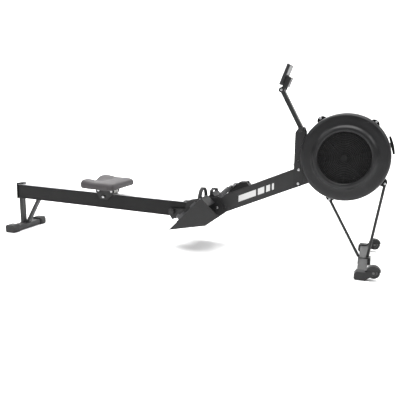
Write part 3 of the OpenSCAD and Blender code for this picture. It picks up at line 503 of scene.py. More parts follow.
outline = pad_outline()
points, faces, rings = [], [], []
around = len(outline)
edge_round = 0.017
insets = [(1 - k / 26) for k in range(27)]
for share in reversed(insets):
    inset = share
    ring = []
    for ox, oy in outline:
        flat_x, flat_y = ox * (1 - inset), oy * (1 - inset)
        from_edge = inset * min(pad_half_x, pad_half_y)
        drop = 0.0
        if from_edge < edge_round:
            drop = edge_round - sqrt(max(0.0, edge_round ** 2 - (edge_round - from_edge) ** 2))
        ring.append((flat_x, flat_y, pad_height(flat_x, flat_y) - drop))
    rings.append(ring)
rings.reverse()
rings = rings[::-1]
top_ring = rings[0] if abs(rings[0][0][0]) > abs(rings[-1][0][0]) else rings[-1]
if top_ring is rings[0]:
    rings.reverse()
rings = rings[1:]
for k in range(1, 13):
    t = k / 12
    groove = 0.0016 if k in (8, 9) else 0.0
    tuck = 0.005 * soft_step((t - 0.75) / 0.25)
    pull = 1 - (groove + tuck) / pad_half_x
    rings.append([(x * pull, y * pull, z * (1 - t) + 0.0004 * t) for x, y, z in top_ring])
for share in (0.8, 0.45):
    rings.append([(x * share, y * share, 0.0004) for x, y, z in top_ring])
points.append((0.0, 0.0, pad_height(0.0, 0.0)))
for ring in rings:
    points += ring
points.append((0.0, 0.0, 0.0004))
for k in range(around):
    faces.append((0, 1 + k, 1 + (k + 1) % around))
for level in range(len(rings) - 1):
    for k in range(around):
        a, b = 1 + level * around + k, 1 + level * around + (k + 1) % around
        faces.append((a, a + around, b + around, b))
last = 1 + (len(rings) - 1) * around
for k in range(around):
    faces.append((last + k, len(points) - 1, last + (k + 1) % around))
points = [on_rail(seat_home + x, y, pad_low + z) for x, y, z in points]
seat_foam = Finish("seat_skin")
pores = seat_foam.noise(900.0, 3.0)
wrinkle = seat_foam.noise(70.0, 3.0)
use_wear = seat_foam.noise(8.0, 3.0)
seat_skin = seat_foam.use(
    Base_Color=seat_foam.blend_colours(use_wear, (0.031, 0.027, 0.029), (0.046, 0.041, 0.043)),
    Roughness=0.62 + (use_wear - 0.5) * 0.14 + (pores - 0.5) * 0.12,
    Normal=seat_foam.bump(pores + wrinkle * 0.5, 0.00022, 0.6))
seat_pad = fitted(plain_mesh("seat_cushion", points, faces), "seat", seat_skin,
    ["seat_pad"], 70.0)


# ---- Seat base, carriage and rollers ----
# A moulded tray under the foam is bolted to a folded steel carriage. Two axles carry
# four nylon rollers on the track, and one roller a side runs under the rail's lips.

worked("seat_base", 0.0015, black_nylon)
frame_black = grained("frame_powder_coat", (0.010, 0.010, 0.0106), 0.48, 560.0, 0.00012, 0.12, 0.4)
worked("carriage", 0.0012, frame_black)
worked("carriage_axles", 0.0006, bolt_steel)
nylon_white = grained("white_nylon", (0.62, 0.62, 0.59), 0.42, 300.0, 0.00005, 0.05, 0.5)
for node in ("top_rollers_rear", "top_rollers_front", "low_rollers"):
    worked(node, 0.0016, nylon_white, 3)
low_x, low_z, leg_y = -0.010, -0.0193, 0.034
bolts("roller_bolts", "seat", bolt_steel, [
    (on_rail(carriage_home + low_x, side * (leg_y + 0.005), low_z), (0, side, 0), 0.0088,
    0.0045) for side in (-1, 1)])


# ---- Main beam ----
# A rectangular aluminium box section that rises to the flywheel, anodised black. A
# plain pale stripe is printed on each side, and a slot in its top takes the handle rest.

beam_black = grained("anodised_beam", (0.0095, 0.0095, 0.0101), 0.45, 420.0, 0.00004, 0.10, 0.45)
worked("main_beam", 0.0030, beam_black, 3)
beam_foot = Vector((0.2750327, 0.0, 0.2194555))
rise = radians(23.0)


def on_beam(x, y, z):
    """A point measured along, across and over the main beam from its lower rear corner."""
    return tipped(beam_foot, rise, x, y, z)


stripe_points, stripe_faces = [], []
for side in (-1, 1):
    face = side * 0.0312
    for x0, x1 in ((0.140, 0.252), (0.264, 0.304), (0.316, 0.340), (0.352, 0.364)):
        z0, z1 = 0.032, 0.066
        first = len(stripe_points)
        lean = 0.014
        for x, z, shift in ((x0, z0, 0.0), (x1, z0, 0.0), (x1, z1, lean), (x0, z1, lean)):
            for depth in (0.0, 0.00025):
                stripe_points.append(on_beam(x + shift, face + side * depth, z))
        quad = [first + 1, first + 3, first + 5, first + 7]
        stripe_faces.append(tuple(quad))
        stripe_faces.append(tuple(v - 1 for v in reversed(quad)))
        for k in range(4):
            a, b = quad[k], quad[(k + 1) % 4]
            stripe_faces.append((a, a - 1, b - 1, b))
pale_print = grained("pale_print", (0.60, 0.60, 0.60), 0.5, 300.0, 0.00003, 0.05, 0.4)
fitted(plain_mesh("beam_stripes", stripe_points, stripe_faces), "frame", pale_print)


# ---- Coupler ----
# Two plates and a saddle floor, powder coated, bolted over the beam's lower end. The
# rail's front end drops in between them and a screw with a knob clamps it.

worked("coupler", 0.0016, frame_black, 3)


def lathe(name, profile, centre, out, steps=96, lobes=0, lobe_depth=0.0):
    """A closed profile of (radius, height) pairs turned round an axis; lobes make it fluted."""
    out = Vector(out).normalized()
    side_a = Vector((1, 0, 0)) if abs(out.x) < 0.5 else Vector((0, 0, 1))
    side_b = out.cross(side_a)
    points, faces, rings = [], [], []
    for radius, height, *flute in profile:
        middle = Vector(centre) + out * height
        if radius < 1e-6:
            rings.append([len(points)])
            points.append(middle)
            continue
        rings.append(list(range(len(points), len(points) + steps)))
        share = flute[0] if flute else 0.0
        for k in range(steps):
            a = 2 * pi * k / steps
            reach = radius - share * lobe_depth * (0.5 - 0.5 * cos(lobes * a)) ** 1.5
            points.append(middle + reach * (cos(a) * side_a + sin(a) * side_b))
    pairs = list(zip(rings, rings[1:]))
    if len(rings[0]) > 1 and len(rings[-1]) > 1:
        pairs.append((rings[-1], rings[0]))
    for low, high in pairs:
        for k in range(steps):
            m = (k + 1) % steps
            if len(low) == 1 and len(high) == 1:
                break
            if len(low) == 1:
                faces.append((low[0], high[m], high[k]))
            elif len(high) == 1:
                faces.append((low[k], low[m], high[0]))
            else:
                faces.append((low[k], low[m], high[m], high[k]))
    return plain_mesh(name, points, faces)


knob_plastic = grained("knob_plastic", (0.014, 0.014, 0.014), 0.48, 800.0, 0.00012, 0.12, 0.4)
stem_low, stem_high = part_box("clamp_knob")
knob_centre = Vector(((stem_low.x + stem_high.x) / 2, stem_low.y, (stem_low.z + stem_high.z) / 2))
knob_profile = [
    (0.0, 0.0), (0.0100, 0.0), (0.0146, 0.0010, 0.3), (0.0166, 0.0040, 1.0), (0.0170, 0.0080, 1.0),
    (0.0170, 0.0140, 1.0), (0.0162, 0.0182, 0.8), (0.0120, 0.0200, 0.1), (0.0074, 0.0202),
    (0.0074, 0.0235),
    (0.0052, 0.0237), (0.0050, 0.0240), (0.0050, stem_high.y - stem_low.y),
    (0.0, stem_high.y - stem_low.y),
]
fitted(lathe("clamp_knob_skin", knob_profile, knob_centre, (0, 1, 0), 96, 6, 0.0032),
       "clamp_knob", knob_plastic, ["clamp_knob"])


# ---- Footrests ----
# Two moulded wedges on a steel cross tube, open underneath and low at the toe end,
# with grip ribs across the heel. Each carries a sliding toe plate.

foot_plastic = grained("footrest_plastic", (0.016, 0.016, 0.0165), 0.58, 520.0, 0.00018, 0.12, 0.35)
worked("footrest_right", 0.0028, foot_plastic, 3)
worked("footrest_left", 0.0028, foot_plastic, 3)
worked("foot_tube", 0.0008, leg_grey)
toe_plastic = grained("toe_plate_plastic", (0.055, 0.055, 0.058), 0.55, 520.0, 0.00014, 0.10, 0.4)
worked("toe_plate_right", 0.0013, toe_plastic)
worked("toe_plate_left", 0.0013, toe_plastic)
heel = Vector((-0.0019673, 0.0, 0.1274555))


def on_foot(u, y, w):
    """A point measured up the foot plate's slope, across it and out of it from its heel."""
    return tipped(heel, radians(45.0), u, y, w)


def ridges(name, rows, body, material):
    """Low rounded bars across the foot plate: each row is a place up it, a start and an end."""
    points, faces = [], []
    section = [(-0.0020, -0.0004), (-0.0016, 0.0006), (-0.0006, 0.0011), (0.0006, 0.0011),
        (0.0016, 0.0006),
               (0.0020, -0.0004)]
    for u, y0, y1 in rows:
        first = len(points)
        ends = [(y0, 0.5), (y0 + 0.0015, 1.0), (y1 - 0.0015, 1.0), (y1, 0.5)]
        for y, fat in ends:
            points += [on_foot(u + du * fat, y, dw * fat) for du, dw in section]
        n = len(section)
        for e in range(3):
            for k in range(n):
                a, b = first + e * n + k, first + e * n + (k + 1) % n
                faces.append((a, b, b + n, a + n))
        faces.append(tuple(first + k for k in reversed(range(n))))
        faces.append(tuple(first + 3 * n + k for k in range(n)))
    return fitted(plain_mesh(name, points, faces), body, material)


rib_rows = [(0.018 + 0.0085 * k, side * 0.048, side * 0.152) for k in range(6) for side in (-1, 1)]
ridges("heel_ribs", [(u, min(a, b), max(a, b)) for u, a, b in rib_rows], "frame",
    foot_plastic)


# ---- Toe straps ----
# Flat woven webbing over each foot, riveted low on the plate's sides, with a plastic
# slide buckle at the top. The right one stands up in a narrow arch; the left lies lower.

webbing = Finish("strap_webbing")
weave_a = webbing.node("ShaderNodeTexWave", {"bands_direction": "X"}, {
    "Vector": webbing.place, "Scale": 190.0, "Distortion": 0.4})
weave_b = webbing.node("ShaderNodeTexWave", {"bands_direction": "Z"}, {
    "Vector": webbing.place, "Scale": 170.0, "Distortion": 0.6})
fuzz = webbing.noise(900.0, 2.0)
strap_web = webbing.use(
    Base_Color=webbing.blend_colours(weave_a * weave_b, (0.012, 0.012, 0.013),
        (0.030, 0.030, 0.031)),
    Roughness=0.82 + (fuzz - 0.5) * 0.12,
        Normal=webbing.bump(weave_a + weave_b * 0.7 + fuzz * 0.4, 0.0003, 0.7))


def smoothed(corners, rounds=3):
    """A line with its corners cut again and again until it curves."""
    line = [Vector(c) for c in corners]
    for _ in range(rounds):
        finer = [line[0]]
        for a, b in zip(line, line[1:]):
            finer += [a.lerp(b, 0.25), a.lerp(b, 0.75)]
        line = finer + [line[-1]]
    return line


def strap(name, line, width, thick, body, material, nodes=()):
    """A flat band that follows a line, with its width along the machine and soft edges."""
    points, faces = [], []
    wide = Vector((1, 0, 0))
    section = [(-0.5, -0.25), (-0.46, -0.5), (0.46, -0.5), (0.5, -0.25), (0.5, 0.25), (0.46, 0.5),
        (-0.46, 0.5),
               (-0.5, 0.25)]
    n = len(section)
    for k, centre in enumerate(line):
        along = (line[min(k + 1, len(line) - 1)] - line[max(k - 1, 0)]).normalized()
        over = wide.cross(along).normalized()
        points += [centre + wide * width * a + over * thick * b for a, b in section]
    for k in range(len(line) - 1):
        for j in range(n):
            a, b = k * n + j, k * n + (j + 1) % n
            faces.append((a, b, b + n, a + n))
    faces.append(tuple(reversed(range(n))))
    faces.append(tuple((len(line) - 1) * n + k for k in range(n)))
    return fitted(plain_mesh(name, points, faces), body, material, nodes, 50.0)


strap_x = 0.1950
plate_z = 0.3250
for hand, side, top, narrow in (("right", -1, 0.3855, 0.034), ("left", 1, 0.3515, 0.011)):
    y_in, y_out = 0.0505, 0.1495
    arch = [
        (strap_x, side * y_in, plate_z - 0.006), (strap_x, side * y_in, top - narrow),
        (strap_x, side * (y_in + narrow * 0.55), top - narrow * 0.30),
        (strap_x, side * 0.088, top - 0.0015),
        (strap_x, side * 0.112, top - 0.0015),
        (strap_x, side * (y_out - narrow * 0.55), top - narrow * 0.30),
        (strap_x, side * y_out, top - narrow), (strap_x, side * y_out, plate_z - 0.006),
    ]
    strap("toe_strap_band_" + hand, smoothed(arch), 0.0225, 0.0022, "frame",
        strap_web,
          ["toe_strap_" + hand])
    tail = [(strap_x - 0.001, side * 0.094, top + 0.0006),
        (strap_x - 0.001, side * 0.112, top + 0.0006),
            (strap_x - 0.002, side * (y_out - narrow * 0.5), top - narrow * 0.30 + 0.002),
            (strap_x - 0.003, side * (y_out + 0.0028), top - narrow - 0.004),
            (strap_x - 0.004, side * (y_out + 0.0036), top - narrow - 0.022)]
    strap("toe_strap_tail_" + hand, smoothed(tail), 0.0215, 0.0018, "frame",
        strap_web)
    buckle_points, buckle_faces = [], []
    for x0, x1, y0, y1 in ((-0.0145, 0.0145, 0.088, 0.0915), (-0.0145, 0.0145, 0.1085, 0.112),
                           (-0.0145, -0.0115, 0.0915, 0.1085), (0.0115, 0.0145, 0.0915, 0.1085),
                           (-0.0120, 0.0120, 0.0985, 0.1015)):
        first = len(buckle_points)
        for z in (top - 0.0030, top + 0.0024):
            for x, y in ((x0, y0), (x1, y0), (x1, y1), (x0, y1)):
                buckle_points.append((strap_x + x, side * y, z))
        buckle_faces += [(first, first + 1, first + 2, first + 3),
            (first + 4, first + 7, first + 6, first + 5)]
        for k in range(4):
            a, b = first + k, first + (k + 1) % 4
            buckle_faces.append((a, a + 4, b + 4, b))
    buckle = edges_broken(plain_mesh("strap_buckle_" + hand, buckle_points, buckle_faces), 0.0007)
    fitted(buckle, "frame", black_nylon)
bolts("strap_rivets", "frame", bolt_steel, [
    ((strap_x, side * 0.1508, plate_z + 0.004), (0, side, 0), 0.0042, 0.0016) for side in (-1, 1)])


# ---- Handle ----
# A steel core with a short straight middle and drooping ends. Ribbed rubber grips are
# pulled over the ends, and a fork at the middle holds the chain's swivel.

worked("handle_core", 0.0008, frame_black)
handle_mid = Vector((0.3380327, 0.0, 0.3844555))
droop = radians(6.0)
grip_rubber = grained("grip_rubber", (0.034, 0.034, 0.036), 0.68, 700.0, 0.0002, 0.10, 0.3)
for hand, side in (("right", -1), ("left", 1)):
    axis = Vector((0, side * cos(droop), -sin(droop)))
    elbow = handle_mid + Vector((0, side * 0.060, 0))
    profile = [(0.0090, 0.006), (0.0132, 0.0062), (0.0141, 0.0075), (0.0144, 0.0100)]
    length = 0.155 - 0.006
    ribs = 34
    for k in range(ribs):
        start = 0.0130 + (length - 0.024) * k / ribs
        wide = (length - 0.024) / ribs
        profile += [(0.0136, start), (0.0136, start + wide * 0.30), (0.0144, start + wide * 0.45),
                    (0.0144, start + wide * 0.85)]
    profile += [(0.0144, length - 0.004), (0.0138, length), (0.0118, length + 0.0035),
        (0.0075, length + 0.0058),
                (0.0, length + 0.0060), (0.0, length - 0.001), (0.0090, length - 0.001)]
    grip = lathe("grip_" + hand, profile, elbow, axis, 48)
    fitted(grip, "handle", grip_rubber, ["handle_grips"] if side > 0 else (), 60.0)
worked("chain_clevis", 0.0012, bolt_steel)


# ---- Handle rest ----
# A moulded cradle screwed to the top of the beam: two arms with hooks for the
# handle's core, and a wedge behind them that guides the chain.

worked("handle_hook", 0.0022, black_nylon, 3)


# ---- Chain ----
# A nickel-plated roller chain from the handle's swivel into the mast. Outer and inner
# links alternate along it, made by one node group from two link meshes.

def link_mesh(name, pitch, plate_y, plate_t, with_rollers):
    """A pair of waisted side plates joined by two pins or rollers."""
    points, faces = [], []
    steps = 10
    outline = []
    for end in (1, -1):
        for k in range(steps + 1):
            a = -pi / 2 + pi * k / steps
            outline.append((end * (pitch / 2 + 0.0031 * cos(a)), end * 0.0031 * sin(a)))
        outline.append((0.0, end * 0.0022))
    n = len(outline)
    for y0 in (plate_y, -plate_y - plate_t):
        first = len(points)
        for y in (y0, y0 + plate_t):
            points += [(x, y, z) for x, z in outline]
        for k in range(n):
            a, b = first + k, first + (k + 1) % n
            faces.append((a, b, b + n, a + n))
        faces.append(tuple(first + k for k in reversed(range(n))))
        faces.append(tuple(first + n + k for k in range(n)))
    around = 12
    radius, reach = (0.0021, plate_y) if with_rollers else (0.0011, plate_y + plate_t + 0.0003)
    for x in (-pitch / 2, pitch / 2):
        first = len(points)
        for y in (-reach, reach):
            points += [(x + radius * cos(2 * pi * k / around), y, radius * sin(2 * pi * k / around))
                       for k in range(around)]
        for k in range(around):
            a, b = first + k, first + (k + 1) % around
            faces.append((a, b, b + around, a + around))
        faces.append(tuple(first + k for k in reversed(range(around))))
        faces.append(tuple(first + around + k for k in range(around)))
    return plain_mesh(name, points, faces)


nickel = Finish("nickel_chain")
oil = nickel.noise(120.0, 3.0)
chain_steel = nickel.use(
    Base_Color=nickel.blend_colours(oil, (0.42, 0.42, 0.43), (0.62, 0.62, 0.62)), Metallic=1.0,
    Roughness=0.28 + (oil - 0.5) * 0.22, Normal=nickel.bump(nickel.noise(700.0), 0.00003, 0.4))

chain_tree = bpy.data.node_groups.new("chain_maker", "GeometryNodeTree")
sockets = {}
for label, kind in (("Path", "NodeSocketGeometry"), ("Pitch", "NodeSocketFloat"),
    ("Outer link", "NodeSocketObject"),
                    ("Inner link", "NodeSocketObject"), ("Metal", "NodeSocketMaterial")):
    sockets[label] = chain_tree.interface.new_socket(label, in_out="INPUT", socket_type=kind)
chain_tree.interface.new_socket("Chain", in_out="OUTPUT", socket_type="NodeSocketGeometry")


def maker(kind, settings=None, values=None):
    """Adds a node to the chain's group; values are numbers or other nodes' outputs."""
    node = chain_tree.nodes.new(kind)
    for name, value in (settings or {}).items():
        setattr(node, name, value)
    for name, value in (values or {}).items():
        if isinstance(value, bpy.types.NodeSocket):
            chain_tree.links.new(value, node.inputs[name])
        else:
            node.inputs[name].default_value = value
    return node


given = maker("NodeGroupInput").outputs
path = maker("GeometryNodeMeshToCurve", None, {"Mesh": given["Path"]}).outputs[0]
even = maker("GeometryNodeResampleCurve", {"mode": "LENGTH"},
    {"Curve": path, "Length": given["Pitch"]}).outputs[0]
along = maker("GeometryNodeInputTangent").outputs[0]
facing = maker("FunctionNodeAlignRotationToVector", {"axis": "X"}, {"Vector": along}).outputs[0]
index = maker("GeometryNodeInputIndex").outputs[0]
odd = maker("ShaderNodeMath", {"operation": "MODULO"}, {0: index, 1: 2.0}).outputs[0]
is_odd = maker("FunctionNodeCompare", {"data_type": "FLOAT", "operation": "GREATER_THAN"},
    {0: odd, 1: 0.5}).outputs[0]
is_even = maker("FunctionNodeBooleanMath", {"operation": "NOT"}, {0: is_odd}).outputs[0]
joined = maker("GeometryNodeJoinGeometry")
for chosen, which in ((is_even, "Outer link"), (is_odd, "Inner link")):
    shape = maker("GeometryNodeObjectInfo", None, {"Object": given[which]}).outputs["Geometry"]
    placed = maker("GeometryNodeInstanceOnPoints", None, {
        "Points": even, "Selection": chosen, "Instance": shape, "Rotation": facing}).outputs[0]
    chain_tree.links.new(placed, joined.inputs[0])
solid = maker("GeometryNodeRealizeInstances", None, {"Geometry": joined.outputs[0]}).outputs[0]
coloured = maker("GeometryNodeSetMaterial", None,
    {"Geometry": solid, "Material": given["Metal"]}).outputs[0]
chain_tree.links.new(coloured, maker("NodeGroupOutput").inputs[0])

slope = radians(22.6)
clevis_reach = 0.0345
chain_from = handle_mid + Vector((clevis_reach * cos(slope), 0.0, clevis_reach * sin(slope)))
chain_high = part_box("chain_span")[1]
chain_to = Vector((chain_high.x, 0.0,
    chain_from.z + (chain_high.x - chain_from.x) * sin(slope) / cos(slope)))
run = (chain_to - chain_from).length
pitch = run / round(run / 0.0080)
outer_link = link_mesh("outer_link", pitch, 0.0020, 0.0008, False)
inner_link = link_mesh("inner_link", pitch, 0.0011, 0.0008, True)
chain = plain_mesh("handle_chain", [chain_from, chain_to], [])
chain.data.edges.add(1)
chain.data.edges[0].vertices = (0, 1)
links = chain.modifiers.new("links", "NODES")
links.node_group = chain_tree
links[sockets["Pitch"].identifier] = pitch
links[sockets["Outer link"].identifier] = outer_link
links[sockets["Inner link"].identifier] = inner_link
links[sockets["Metal"].identifier] = chain_steel
settled(chain)
for spare in (outer_link, inner_link):
    bpy.data.objects.remove(spare)
for face in chain.data.polygons:
    face.use_smooth = True
chain.data.set_sharp_from_angle(angle=radians(35))
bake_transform(chain)
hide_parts("chain_span")


# ---- Mast and frame hardware ----
# A folded steel channel, powder coated, straddles the beam and rises to the monitor
# arm's pivot. Button-head bolts hold it, the coupler and the covers' lugs.

worked("mast", 0.0014, frame_black, 3)
worked("guide_roller", 0.0012, nylon_white)
fly = (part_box("axle")[0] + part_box("axle")[1]) / 2
fly_x, fly_z = fly.x, fly.z
mast_x = 0.7329589
under_mast = beam_foot.z + (mast_x - beam_foot.x) * sin(rise) / cos(rise)
hardware = []
for side in (-1, 1):
    for z in (0.018, 0.096):
        hardware.append(((mast_x, side * 0.0345, under_mast + z), (0, side, 0), 0.0070, 0.0044))
    hardware.append(((beam_foot.x - 0.014, side * 0.036, beam_foot.z + 0.041), (0, side, 0), 0.0074,
        0.0040))
hardware.append(((0.7359589, 0.0345, 0.730), (0, 1, 0), 0.0060, 0.0036))
bolts("frame_bolt_heads", "frame", bolt_steel, hardware, ["frame_bolts"])


# ---- Flywheel, axle, sprocket and inner chain ----
# A steel disc with radial vanes spins on a ground axle between two plates. The
# sprocket sits beside it, and the chain passes over it and back into the beam.

worked("axle_plates", 0.0008, frame_black)
worked("axle", 0.0012, track_steel)
worked("fan", 0.0004, frame_black, 1)
worked("drive_chain", 0.0006, chain_steel)
worked("sprocket", 0.0005, bolt_steel)


# ---- Flywheel covers ----
# Two deep black mouldings with rolled rims, and a raised ring round each air intake.
# They are semi-gloss, and a notch at the rear lets the beam and the mast in.

cover_look = Finish("cover_gloss")
orange_peel = cover_look.noise(260.0, 2.0)
dust = cover_look.noise(14.0, 5.0)
cover_black = cover_look.use(
    Base_Color=cover_look.blend_colours(dust, (0.0065, 0.0065, 0.007), (0.013, 0.013, 0.014)),
    Roughness=0.36 + (dust - 0.5) * 0.16 + (orange_peel - 0.5) * 0.04,
    Normal=cover_look.bump(orange_peel, 0.00008, 0.35))
cover_look.surface.inputs["Specular IOR Level"].default_value = 0.32


def rounded_profile(corners, rounds=3):
    """A closed profile with its corners rounded."""
    line = list(corners)
    for _ in range(rounds):
        finer = []
        for a, b in zip(line, line[1:] + line[:1]):
            finer += [(a[0] * 0.78 + b[0] * 0.22, a[1] * 0.78 + b[1] * 0.22),
                      (a[0] * 0.22 + b[0] * 0.78, a[1] * 0.22 + b[1] * 0.78)]
        line = finer
    return line


cage = 0.235
intake = 0.136
for hand, side in (("right", -1), ("left", 1)):
    wall = [
        (cage, 0.0222), (cage, 0.0430), (cage - 0.0040, 0.0530), (cage - 0.0120, 0.0595),
        (cage - 0.0240, 0.0616),
        (0.1780, 0.0620), (0.1700, 0.0650), (0.1630, 0.0738), (0.1540, 0.0779), (0.1440, 0.0777),
        (0.1378, 0.0730),
        (intake + 0.0004, 0.0662), (0.1392, 0.0662), (0.1470, 0.0746), (0.1540, 0.0748),
        (0.1610, 0.0710),
        (0.1675, 0.0625), (0.1760, 0.0590), (cage - 0.0250, 0.0586), (cage - 0.0145, 0.0566),
        (cage - 0.0070, 0.0505), (cage - 0.0032, 0.0420), (cage - 0.0032, 0.0222),
    ]
    shell = lathe("cover_shell_" + hand, rounded_profile(wall, 2), (fly_x, 0.0, fly_z),
        (0, side, 0), 256)
    reach = 0.5
    notch = [(0.0, 0.0)] + [(reach * cos(radians(a)), reach * sin(radians(a))) for a in (154, 170,
        190, 206, 222)]
    wedge_points = [(fly_x + x, y, fly_z + z) for y in (-0.0355, 0.0355) for x, z in notch]
    n = len(notch)
    wedge_faces = [tuple(reversed(range(n))), tuple(range(n, 2 * n))]
    wedge_faces += [(k, (k + 1) % n, (k + 1) % n + n, k + n) for k in range(n)]
    wedge = plain_mesh("notch_cutter", wedge_points, wedge_faces)
    cut = shell.modifiers.new("notch", "BOOLEAN")
    cut.object = wedge
    cut.solver = "EXACT"
    settled(shell)
    bpy.data.objects.remove(wedge)
    fitted(shell, "frame", cover_black, ["cover_" + hand], 40.0)


# ---- Intake grilles ----
# Moulded ring grilles close the two intakes: many thin concentric rings on six
# spokes, with a hub in the middle. The left one carries the damper's pivot.

def gather(name, pieces):
    """Several meshes as one, without their objects."""
    shell = bmesh.new()
    for piece in pieces:
        shell.from_mesh(piece.data)
        bpy.data.objects.remove(piece)
    mesh = bpy.data.meshes.new(name)
    shell.to_mesh(mesh)
    shell.free()
    whole = bpy.data.objects.new(name, mesh)
    bpy.context.scene.collection.objects.link(whole)
    return whole


for hand, side in (("right", -1), ("left", 1)):
    base = 0.0662
    parts = []
    for k in range(12):
        radius = 0.0290 + 0.0088 * k
        ring = [(radius + 0.0021 * cos(a), base + 0.0024 + 0.0020 * sin(a)) for a in
                [2 * pi * j / 8 for j in range(8)]]
        parts.append(lathe("wire", ring, (fly_x, 0.0, fly_z), (0, side, 0), 128))
    rim = [(0.1325, base), (intake - 0.0002, base), (intake - 0.0002, base + 0.0038),
        (0.1325, base + 0.0045)]
    parts.append(lathe("rim", rounded_profile(rim, 1), (fly_x, 0.0, fly_z), (0, side, 0), 160))
    hub = [(0.0, base), (0.0200, base), (0.0200, base + 0.0040), (0.0186, base + 0.0056),
        (0.0, base + 0.0060)]
    if side > 0:
        hub = hub[:4] + [(0.0160, base + 0.0058), (0.0160, 0.0840), (0.0150, 0.0848), (0.0, 0.0850)]
    parts.append(lathe("hub", hub, (fly_x, 0.0, fly_z), (0, side, 0), 64))
    for spoke in range(6):
        a = radians(15 + 60 * spoke) * -side
        out = Vector((cos(a), 0, sin(a)))
        wide = Vector((-sin(a), 0, cos(a)))
        spoke_points, spoke_faces = [], []
        for radius in (0.0190, 0.1340):
            for w, h in ((-0.0026, 0.0002), (0.0026, 0.0002), (0.0019, 0.0036), (-0.0019, 0.0036)):
                spoke_points.append(Vector((fly_x, side * (base + h),
                    fly_z)) + out * radius + wide * w)
        spoke_faces = [(0, 1, 2, 3), (7, 6, 5, 4)] + [(k, k + 4, (k + 1) % 4 + 4,
            (k + 1) % 4) for k in range(4)]
        parts.append(plain_mesh("spoke", spoke_points, spoke_faces))
    fitted(gather("ring_grille_" + hand, parts), "frame", black_nylon,
           ["intake_grille_" + hand], 40.0)


# ---- Outlet band ----
# The strip between the two covers: two narrow hoops joined by short bars, so that
# the air leaves all round. It stops at the notch for the beam and the mast.

def arc_block(r0, r1, y0, y1, a0, a1, steps):
    """A piece of hoop between two radii, two heights and two angles."""
    points, faces = [], []
    for k in range(steps + 1):
        a = radians(a0 + (a1 - a0) * k / steps)
        for r, y in ((r0, y0), (r1, y0), (r1, y1), (r0, y1)):
            points.append((fly_x + r * cos(a), y, fly_z + r * sin(a)))
    for k in range(steps):
        for j in range(4):
            a, b = 4 * k + j, 4 * k + (j + 1) % 4
            faces.append((a, b, b + 4, a + 4))
    faces += [(3, 2, 1, 0), tuple(4 * steps + j for j in range(4))]
    return plain_mesh("arc", points, faces)


parts = [arc_block(cage - 0.0036, cage - 0.0010, y0, y1, 222.5, 513.5, 200)
         for y0, y1 in ((-0.0219, -0.0140), (0.0140, 0.0219))]
for k in range(48):
    middle = 225.5 + 285.0 * k / 47
    parts.append(arc_block(cage - 0.0034, cage - 0.0014, -0.0142, 0.0142, middle - 0.9,
        middle + 0.9, 2))
band = edges_broken(gather("outlet_hoops", parts), 0.0005, 1)
fitted(band, "frame", black_nylon, ["outlet_band"], 35.0)


# ---- Rim lugs ----
# Four blocks on the rim where the covers and the struts are bolted together, with a
# bolt through each and its head on both sides.

worked("rim_lugs", 0.0030, black_nylon, 3)
lug_bolts = []
for angle, reach in ((124, 0.022), (52, 0.015), (-32, 0.026), (-106, 0.020)):
    far = cage - 0.001 + reach - 0.010
    for side in (-1, 1):
        lug_bolts.append(((fly_x + far * cos(radians(angle)), side * 0.0182,
            fly_z + far * sin(radians(angle))),
                          (0, side, 0), 0.0062, 0.0036))
bolts("rim_bolt_heads", "frame", bolt_steel, lug_bolts)


# ---- Damper ----
# A shutter disc on the left intake, with a lever that reaches over the rim to a
# ribbed paddle. The rower turns it to let more or less air in.

worked("damper", 0.0016, black_nylon, 3)
rib_parts = []
for k in range(7):
    middle = 8.0 + 16.0 * k / 6
    rib_parts.append(arc_block(0.2510, 0.2519, 0.0260, 0.0790, middle - 0.35, middle + 0.35, 2))
ribs = edges_broken(gather("damper_ribs", rib_parts), 0.0003, 1)
fitted(ribs, "damper", black_nylon)


# ---- Struts and front foot ----
# Two round steel struts come down from the rim lugs to a sleeve on the front foot bar,
# a flattened tube that lies across the machine and is powder coated a lighter grey.

worked("rear_strut", 0.0008, leg_grey)
worked("front_strut", 0.0008, leg_grey)
worked("strut_socket", 0.0022, frame_black, 3)
bar_grey = grained("foot_bar_powder_coat", (0.022, 0.022, 0.0225), 0.5, 560.0, 0.00012, 0.10, 0.4)
worked("front_foot_bar", 0.0080, bar_grey, 4)
worked("front_foot_caps", 0.0030, cap_plastic, 3)


# ---- Transport wheels ----
# Each wheel has a rubber tyre with a shallow groove round it on a grey nylon hub,
# on an axle through the foot cap's fork. They touch the floor only when it is tipped.

tyre_rubber = grained("tyre_rubber", (0.032, 0.032, 0.033), 0.72, 520.0, 0.0002, 0.12, 0.3)
hub_grey = grained("hub_nylon", (0.10, 0.10, 0.10), 0.5, 500.0, 0.0001, 0.1, 0.4)
for hand in ("right", "left"):
    low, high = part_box("caster_" + hand)
    side = -1 if hand == "right" else 1
    middle = Vector(((low.x + high.x) / 2, side * 0.271, (low.z + high.z) / 2))
    tyre = [(0.0205, -0.0095), (0.0270, -0.0110), (0.0300, -0.0098), (0.0310, -0.0070),
        (0.0310, -0.0016),
            (0.0298, -0.0010), (0.0298, 0.0010), (0.0310, 0.0016), (0.0310, 0.0070),
            (0.0300, 0.0098),
            (0.0270, 0.0110), (0.0205, 0.0095)]
    fitted(lathe("tyre_" + hand, tyre, middle, (0, side, 0), 96), "caster_" + hand,
        tyre_rubber,
           ["caster_" + hand])
    hub = [(0.0, -0.0185), (0.0058, -0.0185), (0.0060, -0.0110), (0.0100, -0.0106),
        (0.0112, -0.0060),
           (0.0190, -0.0050), (0.0202, -0.0094), (0.0210, -0.0094), (0.0210, 0.0094),
           (0.0202, 0.0094),
           (0.0190, 0.0050), (0.0112, 0.0060), (0.0100, 0.0106), (0.0060, 0.0110), (0.0060, 0.0166),
           (0.0, 0.0168)]
    fitted(lathe("hub_" + hand, hub, middle, (0, side, 0), 64), "caster_" + hand,
        hub_grey)


# ---- Monitor arm ----
# A steel box arm with a round boss at each end. It swings on a bolt through the
# mast's top, and a fluted knob on the right clamps it.

